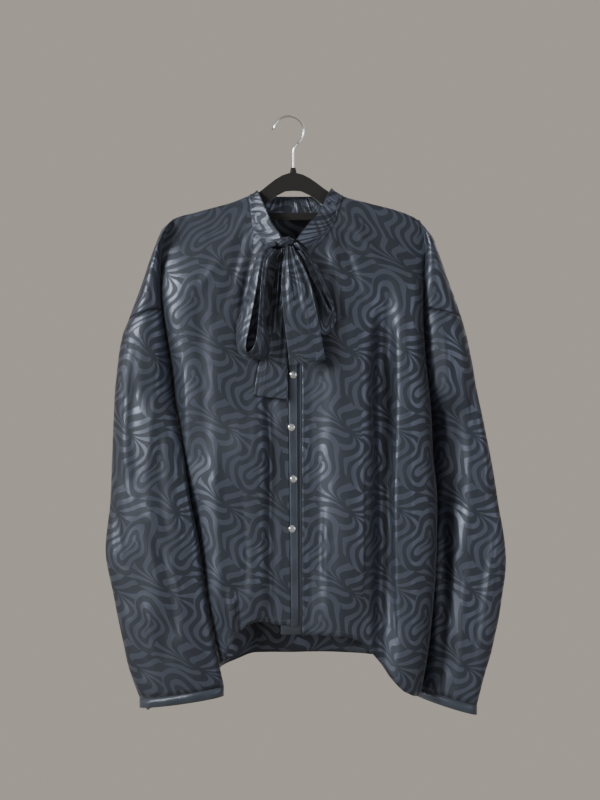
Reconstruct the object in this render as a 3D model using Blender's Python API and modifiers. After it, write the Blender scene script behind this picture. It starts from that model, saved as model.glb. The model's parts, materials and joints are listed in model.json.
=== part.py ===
"""A tie neck blouse of satin jacquard, buttoned, hanging on a slim flocked hanger with a wire hook.

Metres, +Z up. The blouse faces -Y. The origin is the inner top of the hook, where the hanger rests
on whatever holds it, so tables give heights as "down", the distance below that point.
Left and right are the wearer's: the right front is the one at -X.
"""

import math
from collections import namedtuple

import bmesh
import bpy
import numpy as np

collectionName = "tie_neck_blouse"
clothWall = 0.0012  # a panel's wall
bandWall = 0.0014  # doubled cloth: bands, cuffs, ties
seamGap = 0.0004  # between the edges of sewn pieces
armholeGap = 0.0009  # between the cap and the sleeve, whose walls lean towards each other
centreX = 0.0068  # the hanger's stem and the middle of the neck

# Shoulder line, where the cloth folds over the hanger's arms
ShoulderRow = namedtuple("ShoulderRow", "x down")
shoulderRows = [
    ShoulderRow(-0.1908, 0.1692),
    ShoulderRow(-0.1793, 0.1574),
    ShoulderRow(-0.1649, 0.1493),
    ShoulderRow(-0.1418, 0.1433),
    ShoulderRow(-0.1178, 0.1368),
    ShoulderRow(-0.0878, 0.1285),
    ShoulderRow(-0.0587, 0.1172),
    ShoulderRow(0.0068, 0.0900),
    ShoulderRow(0.0818, 0.1184),
    ShoulderRow(0.1223, 0.1292),
    ShoulderRow(0.1694, 0.1418),
    ShoulderRow(0.1883, 0.1503),
    ShoulderRow(0.2025, 0.1622),
    ShoulderRow(0.2168, 0.1808),
]
shoulderRound = 0.007  # radius of the fold over the arms
shoulderFall = 0.12  # drop in which the cloth reaches its full depth

# Front and back stand this far from the hanger's plane
DepthRow = namedtuple("DepthRow", "down front back")
depthRows = [
    DepthRow(0.15, 0.033, 0.022),
    DepthRow(0.22, 0.038, 0.028),
    DepthRow(0.32, 0.043, 0.033),
    DepthRow(0.45, 0.044, 0.035),
    DepthRow(0.60, 0.043, 0.034),
    DepthRow(0.75, 0.040, 0.031),
    DepthRow(0.87, 0.037, 0.028),
]

# Body edges: the valley beside the sleeve down to the underarm, then the side seam
underarm = 0.405
SideRow = namedtuple("SideRow", "down right left")
sideRows = [
    SideRow(0.1530, -0.1730, 0.1960),
    SideRow(0.2000, -0.1895, 0.2045),
    SideRow(0.2450, -0.1910, 0.2015),
    SideRow(0.2900, -0.1870, 0.2008),
    SideRow(0.3500, -0.1785, 0.2040),
    SideRow(0.4050, -0.1715, 0.2105),
    SideRow(0.4500, -0.1680, 0.2140),
    SideRow(0.5000, -0.1625, 0.2160),
    SideRow(0.5770, -0.1520, 0.2228),
    SideRow(0.6680, -0.1360, 0.2213),
    SideRow(0.7300, -0.1265, 0.2168),
    SideRow(0.7910, -0.1130, 0.2105),
    SideRow(0.8260, -0.1030, 0.2050),
    SideRow(0.8700, -0.1000, 0.1970),
]
sideRoundRight = 0.24  # share of a half body that rounds away at its edge
sideRoundLeft = 0.16
valleyStart = 0.165  # the valley sinks in between these two levels
valleyFull = 0.235
ValleyRow = namedtuple("ValleyRow", "down depth")
valleyRows = [
    ValleyRow(0.235, 0.012),
    ValleyRow(0.290, 0.009),
    ValleyRow(0.350, 0.005),
    ValleyRow(0.405, 0.0),
]

# Neck seam: u runs from the front or back middle (0) to the shoulder (neckShare)
neckShare = 0.45
NeckRow = namedtuple("NeckRow", "u x down")
neckFrontRight = [
    NeckRow(0.00, -0.0020, 0.2060),
    NeckRow(0.08, -0.0329, 0.1967),
    NeckRow(0.14, -0.0432, 0.1823),
    NeckRow(0.20, -0.0537, 0.1673),
    NeckRow(0.27, -0.0565, 0.1430),
    NeckRow(0.34, -0.0580, 0.1260),
    NeckRow(0.40, -0.0584, 0.1195),
    NeckRow(0.45, -0.0587, 0.1172),
]
neckFrontLeft = [
    NeckRow(0.00, 0.0200, 0.2065),
    NeckRow(0.06, 0.0240, 0.2055),
    NeckRow(0.13, 0.0467, 0.1874),
    NeckRow(0.20, 0.0627, 0.1703),
    NeckRow(0.27, 0.0725, 0.1500),
    NeckRow(0.34, 0.0785, 0.1290),
    NeckRow(0.40, 0.0808, 0.1210),
    NeckRow(0.45, 0.0818, 0.1184),
]
neckBackRight = [
    NeckRow(0.00, 0.0068, 0.1490),
    NeckRow(0.12, -0.0180, 0.1480),
    NeckRow(0.22, -0.0400, 0.1430),
    NeckRow(0.29, -0.0520, 0.1340),
    NeckRow(0.34, -0.0565, 0.1255),
    NeckRow(0.40, -0.0582, 0.1195),
    NeckRow(0.45, -0.0587, 0.1172),
]
neckBackLeft = [
    NeckRow(0.00, 0.0068, 0.1490),
    NeckRow(0.12, 0.0350, 0.1480),
    NeckRow(0.22, 0.0600, 0.1430),
    NeckRow(0.29, 0.0740, 0.1340),
    NeckRow(0.34, 0.0790, 0.1260),
    NeckRow(0.40, 0.0812, 0.1205),
    NeckRow(0.45, 0.0818, 0.1184),
]

# Hems, front to the wearer's right, front to the left, and back
HemRow = namedtuple("HemRow", "x down")
hemFrontRight = [
    HemRow(-0.1035, 0.8235),
    HemRow(-0.0900, 0.8080),
    HemRow(-0.0760, 0.7840),
    HemRow(-0.0560, 0.7610),
    HemRow(-0.0360, 0.7500),
    HemRow(-0.0100, 0.7555),
    HemRow(0.0160, 0.7570),
]
hemFrontLeft = [
    HemRow(-0.0120, 0.7680),
    HemRow(0.0128, 0.7755),
    HemRow(0.0300, 0.7700),
    HemRow(0.0700, 0.7715),
    HemRow(0.0940, 0.7763),
    HemRow(0.1240, 0.8018),
    HemRow(0.1500, 0.8343),
    HemRow(0.1800, 0.8580),
    HemRow(0.1990, 0.8642),
]
hemBack = [
    HemRow(-0.1035, 0.8258),
    HemRow(-0.0790, 0.8183),
    HemRow(-0.0470, 0.8080),
    HemRow(0.0000, 0.8060),
    HemRow(0.0600, 0.8070),
    HemRow(0.1240, 0.8090),
    HemRow(0.1550, 0.8370),
    HemRow(0.1990, 0.8642),
]

# Front edges: the overlapping band's two edges and the under band's
EdgeRow = namedtuple("EdgeRow", "down seam edge")
bandRightRows = [
    EdgeRow(0.200, -0.0020, 0.0118),
    EdgeRow(0.374, -0.0008, 0.0130),
    EdgeRow(0.780, 0.0038, 0.0155),
]
bandLeftRows = [
    EdgeRow(0.200, 0.0200, -0.0120),
    EdgeRow(0.780, 0.0205, -0.0115),
]
underLayer = 0.0030  # the under front lies this far behind the overlapping one
underBlend = 0.045  # and comes level again over this width

# Folds hung in the cloth: lift is positive where the fold stands out
FoldRow = namedtuple("FoldRow", "topX top endX end width lift")
frontFolds = [
    FoldRow(-0.0950, 0.225, -0.0900, 0.760, 0.034, 0.0050),
    FoldRow(-0.0300, 0.300, -0.0260, 0.800, 0.013, -0.0060),
    FoldRow(-0.1330, 0.260, -0.1180, 0.700, 0.014, -0.0030),
    FoldRow(-0.0730, 0.670, -0.0760, 0.850, 0.008, -0.0045),
    FoldRow(0.0720, 0.240, 0.0740, 0.850, 0.024, 0.0050),
    FoldRow(0.1440, 0.215, 0.1400, 0.880, 0.014, -0.0120),
    FoldRow(0.1130, 0.450, 0.1090, 0.850, 0.010, -0.0030),
    FoldRow(0.1780, 0.230, 0.1800, 0.860, 0.016, 0.0040),
    FoldRow(-0.0480, 0.150, -0.0300, 0.245, 0.008, 0.0022),
    FoldRow(0.0760, 0.165, 0.0560, 0.245, 0.009, 0.0024),
]
backFolds = [
    FoldRow(-0.1250, 0.230, -0.1150, 0.800, 0.018, -0.0070),
    FoldRow(-0.0700, 0.260, -0.0600, 0.850, 0.024, 0.0050),
    FoldRow(-0.0050, 0.200, 0.0000, 0.850, 0.020, -0.0070),
    FoldRow(0.0600, 0.240, 0.0620, 0.850, 0.022, 0.0045),
    FoldRow(0.1350, 0.220, 0.1300, 0.880, 0.020, -0.0080),
]

# Sleeves: inner and outer edge by level. half is half the thickness of the flattened tube
SleeveRow = namedtuple("SleeveRow", "down inner outer outerDown half innerY outerY")
sleeveRightRows = [
    SleeveRow(0.2900, -0.1874, -0.2403, 0.3059, 0.022, 0.000, 0.000),
    SleeveRow(0.3200, -0.1832, -0.2500, 0.3300, 0.027, 0.000, 0.000),
    SleeveRow(0.3620, -0.1772, -0.2562, 0.3700, 0.030, 0.000, 0.000),
    SleeveRow(0.4050, -0.1722, -0.2600, 0.4080, 0.031, 0.000, 0.000),
    SleeveRow(0.4500, -0.1665, -0.2626, 0.4500, 0.030, -0.018, 0.001),
    SleeveRow(0.5000, -0.1563, -0.2645, 0.5000, 0.029, -0.028, 0.002),
    SleeveRow(0.5710, -0.1448, -0.2680, 0.5710, 0.028, -0.032, 0.004),
    SleeveRow(0.6440, -0.1313, -0.2760, 0.6480, 0.028, -0.034, 0.006),
    SleeveRow(0.7240, -0.1202, -0.2630, 0.7200, 0.027, -0.034, 0.006),
    SleeveRow(0.7760, -0.1110, -0.2495, 0.7820, 0.026, -0.032, 0.006),
    SleeveRow(0.8180, -0.1019, -0.2390, 0.8300, 0.025, -0.030, 0.005),
    SleeveRow(0.8465, -0.0957, -0.2243, 0.8705, 0.024, -0.028, 0.004),
]
sleeveLeftRows = [
    SleeveRow(0.2900, 0.2012, 0.2603, 0.3038, 0.022, 0.000, 0.000),
    SleeveRow(0.3250, 0.2030, 0.2663, 0.3270, 0.027, 0.000, 0.000),
    SleeveRow(0.3650, 0.2060, 0.2750, 0.3690, 0.030, 0.000, 0.000),
    SleeveRow(0.4050, 0.2112, 0.2822, 0.4080, 0.031, 0.000, 0.000),
    SleeveRow(0.4500, 0.2128, 0.2905, 0.4500, 0.030, 0.024, -0.001),
    SleeveRow(0.5130, 0.2100, 0.3030, 0.5130, 0.029, 0.034, -0.001),
    SleeveRow(0.5770, 0.2150, 0.3135, 0.5790, 0.028, 0.034, -0.002),
    SleeveRow(0.6400, 0.2140, 0.3238, 0.6400, 0.028, 0.030, -0.004),
    SleeveRow(0.6680, 0.2130, 0.3252, 0.6640, 0.028, 0.030, -0.004),
    SleeveRow(0.7300, 0.2085, 0.3173, 0.7300, 0.027, 0.029, -0.004),
    SleeveRow(0.7910, 0.2025, 0.3053, 0.7910, 0.026, 0.028, -0.004),
    SleeveRow(0.8300, 0.1965, 0.2930, 0.8370, 0.025, 0.031, -0.003),
    SleeveRow(0.8560, 0.1900, 0.2823, 0.8800, 0.024, 0.032, -0.002),
]
armholeRise = 0.005  # the armhole seam bows up by this between valley and outer edge
capRound = 0.020  # the cloth past the hanger's tip fills out over this drop
sleeveRightFolds = [
    FoldRow(-0.2100, 0.560, -0.1650, 0.790, 0.012, 0.0045),
    FoldRow(-0.1950, 0.420, -0.1750, 0.800, 0.011, -0.0050),
    FoldRow(-0.2380, 0.330, -0.2300, 0.560, 0.012, -0.0035),
    FoldRow(-0.2330, 0.640, -0.2130, 0.840, 0.014, -0.0040),
]
sleeveLeftFolds = [
    FoldRow(0.2480, 0.330, 0.2550, 0.600, 0.012, -0.0050),
    FoldRow(0.2760, 0.450, 0.2500, 0.800, 0.013, 0.0040),
    FoldRow(0.2350, 0.560, 0.2300, 0.840, 0.010, -0.0040),
    FoldRow(0.2980, 0.560, 0.2700, 0.850, 0.012, -0.0045),
]
cuffHeight = 0.0150

# Collar's top edge, from the right front round the back to the left front
CollarRow = namedtuple("CollarRow", "around x y down")
collarRows = [
    CollarRow(-0.37, -0.0085, -0.0425, 0.1895),
    CollarRow(-0.31, -0.0125, -0.0390, 0.1790),
    CollarRow(-0.25, -0.0236, -0.0300, 0.1628),
    CollarRow(-0.18, -0.0330, -0.0210, 0.1400),
    CollarRow(-0.11, -0.0410, -0.0130, 0.1225),
    CollarRow(-0.05, -0.0452, -0.0062, 0.1125),
    CollarRow(0.00, -0.0468, 0.0000, 0.1098),
    CollarRow(0.05, -0.0455, 0.0060, 0.1120),
    CollarRow(0.11, -0.0420, 0.0110, 0.1150),
    CollarRow(0.16, -0.0360, 0.0140, 0.1165),
    CollarRow(0.23, -0.0250, 0.0160, 0.1165),
    CollarRow(0.33, -0.0100, 0.0175, 0.1165),
    CollarRow(0.45, 0.0068, 0.0180, 0.1165),
    CollarRow(0.57, 0.0240, 0.0175, 0.1165),
    CollarRow(0.67, 0.0400, 0.0160, 0.1165),
    CollarRow(0.74, 0.0520, 0.0140, 0.1155),
    CollarRow(0.79, 0.0590, 0.0110, 0.1125),
    CollarRow(0.85, 0.0625, 0.0060, 0.1085),
    CollarRow(0.90, 0.0640, 0.0000, 0.1068),
    CollarRow(0.95, 0.0620, -0.0062, 0.1095),
    CollarRow(1.01, 0.0575, -0.0130, 0.1185),
    CollarRow(1.09, 0.0500, -0.0200, 0.1360),
    CollarRow(1.15, 0.0428, -0.0270, 0.1493),
    CollarRow(1.22, 0.0282, -0.0370, 0.1653),
    CollarRow(1.27, 0.0110, -0.0425, 0.1880),
]
collarColumns = 64
collarGathers = 18
collarGatherLift = 0.0009

# Bow: each loop is a strip between its back edge and its front edge, out from the knot and back
LoopRow = namedtuple("LoopRow", "along backX backY backDown frontX frontY frontDown")
loopRightRows = [
    LoopRow(0.00, -0.0181, -0.0480, 0.1940, -0.0181, -0.0545, 0.1965),
    LoopRow(0.08, -0.0350, -0.0485, 0.1990, -0.0350, -0.0610, 0.2090),
    LoopRow(0.18, -0.0485, -0.0480, 0.2230, -0.0405, -0.0680, 0.2300),
    LoopRow(0.30, -0.0636, -0.0485, 0.2791, -0.0478, -0.0740, 0.2740),
    LoopRow(0.42, -0.0759, -0.0490, 0.3226, -0.0560, -0.0760, 0.3190),
    LoopRow(0.49, -0.0735, -0.0495, 0.3510, -0.0612, -0.0765, 0.3460),
    LoopRow(0.54, -0.0590, -0.0500, 0.3610, -0.0585, -0.0765, 0.3550),
    LoopRow(0.60, -0.0350, -0.0530, 0.3640, -0.0510, -0.0765, 0.3480),
    LoopRow(0.66, -0.0275, -0.0560, 0.3450, -0.0460, -0.0760, 0.3300),
    LoopRow(0.76, -0.0345, -0.0570, 0.3020, -0.0430, -0.0750, 0.2960),
    LoopRow(0.86, -0.0340, -0.0560, 0.2560, -0.0400, -0.0700, 0.2560),
    LoopRow(0.94, -0.0260, -0.0560, 0.2160, -0.0350, -0.0650, 0.2200),
    LoopRow(1.00, -0.0200, -0.0560, 0.2020, -0.0230, -0.0615, 0.2040),
]
loopLeftRows = [
    LoopRow(0.00, 0.0100, -0.0475, 0.1905, 0.0120, -0.0535, 0.1930),
    LoopRow(0.08, 0.0260, -0.0485, 0.2030, 0.0250, -0.0590, 0.2110),
    LoopRow(0.18, 0.0410, -0.0480, 0.2240, 0.0380, -0.0610, 0.2290),
    LoopRow(0.30, 0.0540, -0.0480, 0.2530, 0.0500, -0.0620, 0.2570),
    LoopRow(0.40, 0.0665, -0.0485, 0.2830, 0.0620, -0.0625, 0.2820),
    LoopRow(0.47, 0.0700, -0.0495, 0.3040, 0.0665, -0.0625, 0.2920),
    LoopRow(0.52, 0.0655, -0.0505, 0.3180, 0.0650, -0.0630, 0.2960),
    LoopRow(0.57, 0.0545, -0.0530, 0.3290, 0.0600, -0.0640, 0.2930),
    LoopRow(0.63, 0.0440, -0.0550, 0.3230, 0.0550, -0.0650, 0.2850),
    LoopRow(0.74, 0.0370, -0.0560, 0.2860, 0.0440, -0.0650, 0.2640),
    LoopRow(0.86, 0.0270, -0.0560, 0.2450, 0.0320, -0.0640, 0.2420),
    LoopRow(0.94, 0.0185, -0.0560, 0.2180, 0.0245, -0.0630, 0.2200),
    LoopRow(1.00, 0.0120, -0.0580, 0.2060, 0.0165, -0.0640, 0.2080),
]

# Tie ends: both edges by level, with their distance in front of the hanger's plane
TailRow = namedtuple("TailRow", "along rightX rightDown leftX leftDown y")
tailFrontRows = [
    TailRow(0.00, -0.0035, 0.1985, 0.0065, 0.1990, -0.0560),
    TailRow(0.14, -0.0075, 0.2300, 0.0200, 0.2260, -0.0700),
    TailRow(0.30, -0.0093, 0.2560, 0.0315, 0.2550, -0.0735),
    TailRow(0.52, -0.0080, 0.2920, 0.0395, 0.2900, -0.0745),
    TailRow(0.76, -0.0030, 0.3320, 0.0468, 0.3260, -0.0730),
    TailRow(1.00, 0.0016, 0.3751, 0.0541, 0.3652, -0.0700),
]
tailRearRows = [
    TailRow(0.00, -0.0110, 0.2016, -0.0030, 0.2016, -0.0505),
    TailRow(0.16, -0.0180, 0.2400, -0.0020, 0.2380, -0.0530),
    TailRow(0.38, -0.0250, 0.2900, -0.0020, 0.2900, -0.0510),
    TailRow(0.62, -0.0330, 0.3400, -0.0020, 0.3420, -0.0505),
    TailRow(0.80, -0.0445, 0.3760, -0.0022, 0.3800, -0.0505),
    TailRow(1.00, -0.0509, 0.4177, -0.0029, 0.4231, -0.0510),
]
tailPleats = 2.5  # pleats across a tie end at the knot
tailPleatLift = 0.0030
knotSize = (0.0270, 0.0140, 0.0160)
knotCentre = (-0.0045, -0.0498, 0.1925)  # x, y, down

# Buttons on the overlapping band
buttonDiameter = 0.0110
buttonThick = 0.0036
ButtonRow = namedtuple("ButtonRow", "x down")
buttonRows = [
    ButtonRow(0.0070, 0.3870),
    ButtonRow(0.0045, 0.4643),
    ButtonRow(0.0075, 0.5402),
    ButtonRow(0.0055, 0.6135),
]

# Hanger
hangerThick = 0.0050
armGap = 0.0030  # the arms lie this far under the shoulder line
armDepthMiddle = 0.0255
armDepthTip = 0.0130
hangerTips = (-0.1580, 0.1800)
archTop = 0.0833
barTop = 0.1433
barBottom = 0.1538
barEnds = (-0.1080, 0.1250)
archHole = (-0.0520, 0.0655)
hookRadius = 0.0225
hookWire = 0.0035
hookTipAngle = 168  # degrees from +X, against the clock as seen from the front
hookFootAngle = -58
stemTop = 0.0500
stemFoot = 0.0755
neckHeight = 0.0072
neckRadii = (0.0050, 0.0036)

# Cloth columns and rows
roundAngles = (0, 6, 35, 62, 90)  # degrees round the fold over the arms
upperShares = (0.14, 0.30, 0.52, 0.76, 1.0)
rightColumns = (0.0, 0.08, 0.14, 0.20, 0.27, 0.34, 0.40, 0.45, 0.55, 0.66, 0.76)
leftColumns = (0.0, 0.06, 0.13, 0.20, 0.27, 0.34, 0.40, 0.45, 0.52, 0.59, 0.65, 0.71, 0.77, 0.84)
backColumnsRight = (0.0, 0.12, 0.22, 0.29, 0.34, 0.40, 0.45, 0.54, 0.64, 0.76)
backColumnsLeft = (0.0, 0.12, 0.22, 0.29, 0.34, 0.40, 0.45, 0.54, 0.64, 0.74, 0.84)
edgeAngles = (68, 45, 22, 2.5, 0)  # degrees round a side edge
capAngles = (0, 20, 45, 72, 100, 126, 151, 176, 180)
sleeveAngles = (0, 20, 45, 72, 100, 126, 151, 180)
armholeLevels = (0.290, 0.330, 0.370, 0.405)
lowerShares = (0.07, 0.15, 0.25, 0.36, 0.47, 0.58, 0.69, 0.79, 0.87, 0.94, 1.0)
sleeveLevels = 13


def curveThrough(rows):
    """A function giving a table's other columns at places in its first, on a smooth curve."""
    table = np.array(rows, float)
    at, values = table[:, 0], table[:, 1:]
    secants = np.diff(values, axis=0) / np.diff(at)[:, None]
    product = secants[:-1] * secants[1:]
    total = secants[:-1] + secants[1:]
    inner = np.where(product > 0, 2 * product / np.where(product > 0, total, 1), 0)
    slopes = np.vstack([secants[:1], inner, secants[-1:]])

    def values_at(places):
        places = np.clip(np.asarray(places, float), at[0], at[-1])
        k = np.clip(np.searchsorted(at, places, side="right") - 1, 0, len(at) - 2)
        step = (at[k + 1] - at[k])[..., None]
        t = (places - at[k])[..., None] / step
        found = (
            (2 * t**3 - 3 * t**2 + 1) * values[k]
            + (t**3 - 2 * t**2 + t) * step * slopes[k]
            + (3 * t**2 - 2 * t**3) * values[k + 1]
            + (t**3 - t**2) * step * slopes[k + 1]
        )
        return tuple(np.moveaxis(found, -1, 0))

    return values_at


def smoothStep(t):
    t = np.clip(t, 0, 1)
    return t * t * (3 - 2 * t)


def quarterRound(t):
    """Rises upright from 0 and levels off at 1, as a quarter circle does."""
    return np.sqrt(1 - (1 - np.clip(t, 0, 1)) ** 2)


shoulderDown = curveThrough(shoulderRows)
bodyDepth = curveThrough(depthRows)
bodySides = curveThrough(sideRows)
valleyDepth = curveThrough(valleyRows)


def foldLift(folds, x, down):
    """How far the folds lift the cloth, each fading out at its two ends."""
    lift = np.zeros(np.broadcast(x, down).shape)
    for fold in folds:
        t = (down - fold.top) / (fold.end - fold.top)
        middle = fold.topX + (fold.endX - fold.topX) * np.clip(t, 0, 1)
        fade = smoothStep(t / 0.2) * smoothStep((1 - t) / 0.15 + 0.35)
        lift = lift + fold.lift * fade * np.exp(-(((x - middle) / fold.width) ** 2))
    return lift


def hangingDepth(x, down, face):
    """Distance from the hanger's plane of cloth hanging free from the shoulder line."""
    drop = np.maximum(down - shoulderDown(x)[0], 0)
    full = bodyDepth(down)[face]
    return shoulderRound * quarterRound(drop / shoulderRound) + (full - shoulderRound) * smoothStep(
        drop / shoulderFall
    )


def valleyAt(x, down, face):
    """Distance from the hanger's plane of the bottom of the valley beside the sleeve."""
    sunk = smoothStep((down - valleyStart) / (valleyFull - valleyStart))
    return hangingDepth(x, down, face) * (1 - sunk) + valleyDepth(down)[0] * sunk


def bodyPoint(u, x, down, side, face):
    """A body point: u runs from the middle (0) to the side edge (1)."""
    edgeX = bodySides(down)[side]
    share = (sideRoundRight, sideRoundLeft)[side]
    depth = hangingDepth(x, down, face)
    valley = valleyAt(edgeX, down, face)
    level = quarterRound((1 - u) / share)
    folds = (frontFolds, backFolds)[face]
    lift = foldLift(folds, x, down) * smoothStep((depth - shoulderRound) / 0.02) * level
    out = seamGap / 2 + valley + (depth - valley) * level + lift
    return np.stack([x, (-1, 1)[face] * out, -down], axis=-1)


def sideFractions(columns, side):
    share = (sideRoundRight, sideRoundLeft)[side]
    rounding = [1 - share * (1 - math.cos(math.radians(angle))) for angle in edgeAngles]
    return np.array(list(columns) + rounding)


def topEdge(neckRows, u, side):
    """The panel's top edge in front view: the neck seam, then the shoulder line."""
    neck = curveThrough(neckRows)
    neckX, neckDown = neck(np.minimum(u, neckShare))
    tip = (sideRows[0].right, sideRows[0].left)[side]
    t = np.clip((u - neckShare) / (1 - neckShare), 0, 1)
    x = neckX + (tip - neckRows[-1].x) * t
    return x, np.where(u > neckShare, shoulderDown(x)[0], neckDown)


def bodyGrid(neckRows, columns, side, face, hemRows, middleX):
    """Rows down a half body, as an array of points, middle first."""
    u = sideFractions(columns, side)
    topX, topDown = topEdge(neckRows, u, side)
    level = armholeLevels[0]
    lowX = middleX(level) + u * (bodySides(level)[side] - middleX(level))
    rounding = [shoulderRound * (1 - math.cos(math.radians(a))) / 0.15 for a in roundAngles]
    points = []
    for share in rounding + list(upperShares):
        down = topDown + (level - topDown) * share
        x = topX + (lowX - topX) * share
        straight = topX[-1] + (lowX[-1] - topX[-1]) * share
        x = x + (bodySides(down)[side] - straight) * u**4 * (share > 0)
        points.append(bodyPoint(u, x, down, side, face))
    for down in armholeLevels[1:]:
        x = middleX(down) + u * (bodySides(down)[side] - middleX(down))
        points.append(bodyPoint(u, x, np.full_like(u, down), side, face))
    hem = curveThrough(hemRows)
    hemX = middleX(0.8) + u * (bodySides(0.84)[side] - middleX(0.8))
    for share in lowerShares:
        down = underarm + (hem(hemX)[0] - underarm) * share
        x = middleX(down) + u * (bodySides(down)[side] - middleX(down))
        points.append(bodyPoint(u, x, down, side, face))
    return np.array(points)


def capGrid(side, face, body):
    """The cloth between the valley and the outer edge, from the shoulder to the armhole seam."""
    sleeve = (sleeveRightRows, sleeveLeftRows)[side]
    outerTop = (shoulderRows[0], shoulderRows[-1])[side]
    rows = len(roundAngles) + len(upperShares)
    valleyColumn = body[:rows, -1]
    bottom = valleyColumn[-1]
    share = (-valleyColumn[:, 2] + valleyColumn[0, 2]) / (valleyColumn[0, 2] - bottom[2])
    angles = np.radians(np.array(capAngles))
    w = (1 - np.cos(angles)) / 2
    points = []
    for row, t in enumerate(share):
        valley = valleyColumn[row]
        outerX = outerTop.x + (sleeve[0].outer - outerTop.x) * t
        outerDown = outerTop.down + (sleeve[0].outerDown - outerTop.down) * t
        x = valley[0] + (outerX - valley[0]) * w
        down = -valley[2] + (outerDown + valley[2]) * w - armholeRise * np.sin(angles) * t
        drop = t * (sleeve[0].outerDown - outerTop.down)
        fill = sleeve[0].half * quarterRound(drop / capRound)
        base = (-1, 1)[face] * valley[1] - seamGap / 2
        corner = seamGap * math.exp(-drop / 0.003) * w**4
        out = seamGap / 2 + corner + base * (1 + np.cos(angles)) / 2 + fill * np.sin(angles)
        points.append(np.stack([x, (-1, 1)[face] * out, -down], axis=-1))
    return np.array(points)


def panelGrid(side, face, body):
    """A half body with the cap outside it. Missing points below the cap are nan."""
    cap = capGrid(side, face, body)
    blank = np.full((len(body) - len(cap), cap.shape[1], 3), np.nan)
    return np.concatenate([body, np.concatenate([cap, blank])[:, 1:]], axis=1)


def sleeveGrid(side, levels, angles=sleeveAngles):
    """Rings down a sleeve, back edge first for the right one. Open at the armhole, closed below it."""
    rows = (sleeveRightRows, sleeveLeftRows)[side]
    folds = (sleeveRightFolds, sleeveLeftFolds)[side]
    section = curveThrough(rows)
    turn = np.radians(np.array(angles))
    w = (1 - np.cos(turn)) / 2
    grid = []
    for level in levels:
        inner, outer, outerDown, half, innerY, outerY = (float(v) for v in section(level))
        if level <= underarm:
            inner = float(bodySides(level)[side]) + (-1, 1)[side] * seamGap
        first = 1 - smoothStep((level - rows[0].down) / 0.09)
        x = inner + (outer - inner) * w
        down = level + (outerDown - level) * w - armholeRise * np.sin(turn) * first
        middle = innerY + (outerY - innerY) * w
        edge = seamGap / 2 if level < underarm else 0
        valley = (float(valleyDepth(level)[0]) + edge) * (1 + np.cos(turn)) / 2
        lift = foldLift(folds, x, down) * np.sin(turn)
        front = middle - valley - half * np.sin(turn) - lift
        back = middle + valley + half * np.sin(turn) + foldLift(folds, x + 0.02, down) * np.sin(turn)
        frontRow = np.stack([x, front, -down], axis=-1)
        backRow = np.stack([x, back, -down], axis=-1)
        grid.append(np.concatenate([frontRow, backRow[-2::-1]]))
    grid = np.array(grid)
    return grid[:, ::-1] if side == 0 else grid


def cuffLevel(side):
    rows = (sleeveRightRows, sleeveLeftRows)[side]
    return rows[-1].down


def cuffGrid(side, angles=sleeveAngles):
    """A band that carries on the sleeve's last ring by the cuff's height."""
    ring = sleeveGrid(side, [cuffLevel(side)], angles)[0]
    steps = (seamGap, cuffHeight / 2, cuffHeight)
    return np.array([ring - np.array([0, 0, step]) for step in steps])


def collarGrid():
    """The stand from its neck seam to its top edge, right front, back, left front."""
    around = np.linspace(collarRows[0].around, collarRows[-1].around, collarColumns + 1)
    seam = np.array([neckPoint(a) for a in around])
    x, y, down = curveThrough(collarRows)(around)
    top = np.stack([x, y, -down], axis=-1)
    run = top - seam
    length = np.linalg.norm(run, axis=1)[:, None]
    seam = seam + run / length * seamGap
    run = top - seam
    grid = []
    along = np.gradient(seam, axis=0)
    normal = np.cross(along, run)
    normal /= np.linalg.norm(normal, axis=1)[:, None]
    fade = smoothStep(np.abs(around) / 0.10) * smoothStep(np.abs(around - 2 * neckShare) / 0.10)
    wave = np.sin(around / 1.64 * collarGathers * 2 * math.pi) * collarGatherLift * fade
    for share in (0.0, 0.15, 0.5, 0.85, 1.0):
        bulge = 0.0012 * math.sin(math.pi * share)
        lift = wave * math.sin(math.pi * (0.15 + 0.7 * share)) * (0 < share)
        grid.append(seam + run * share + normal * (lift + bulge)[:, None])
    return np.array(grid)[::-1]


def neckPoint(around):
    """A point of the neck seam, on the straight runs between the panels' columns."""
    if around <= 0:
        rows, columns, side, face, u = neckFrontRight, rightColumns, 0, 0, neckShare + around
    elif around <= neckShare:
        rows, columns, side, face, u = neckBackRight, backColumnsRight, 0, 1, neckShare - around
    elif around <= 2 * neckShare:
        rows, columns, side, face, u = neckBackLeft, backColumnsLeft, 1, 1, around - neckShare
    else:
        rows, columns, side, face, u = neckFrontLeft, leftColumns, 1, 0, 3 * neckShare - around
    stations = np.array([c for c in columns if c <= neckShare])
    x, down = topEdge(rows, stations, side)
    points = bodyPoint(stations, x, down, side, face)
    if abs(around) < 1e-6 or abs(around - 2 * neckShare) < 1e-6:
        points[:, 1] = 0
    return np.array([np.interp(u, stations, points[:, axis]) for axis in range(3)])


def stripGrid(edgeA, edgeB, across, bow=0.0):
    """A strip between two edges, bowed along its normal in the middle."""
    run = edgeB - edgeA
    along = np.gradient(edgeA + edgeB, axis=0)
    normal = np.cross(along, run)
    normal /= np.linalg.norm(normal, axis=1)[:, None]
    shares = np.linspace(0, 1, across + 1)
    return np.array([edgeA + run * s + normal * bow * math.sin(math.pi * s) for s in shares])


def loopGrid(rows, stations=26, across=4, bow=0.003):
    along = np.linspace(0, 1, stations + 1)
    backX, backY, backDown, frontX, frontY, frontDown = curveThrough(rows)(along)
    back = np.stack([backX, backY, -backDown], axis=-1)
    front = np.stack([frontX, frontY, -frontDown], axis=-1)
    return stripGrid(back, front, across, bow)


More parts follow.
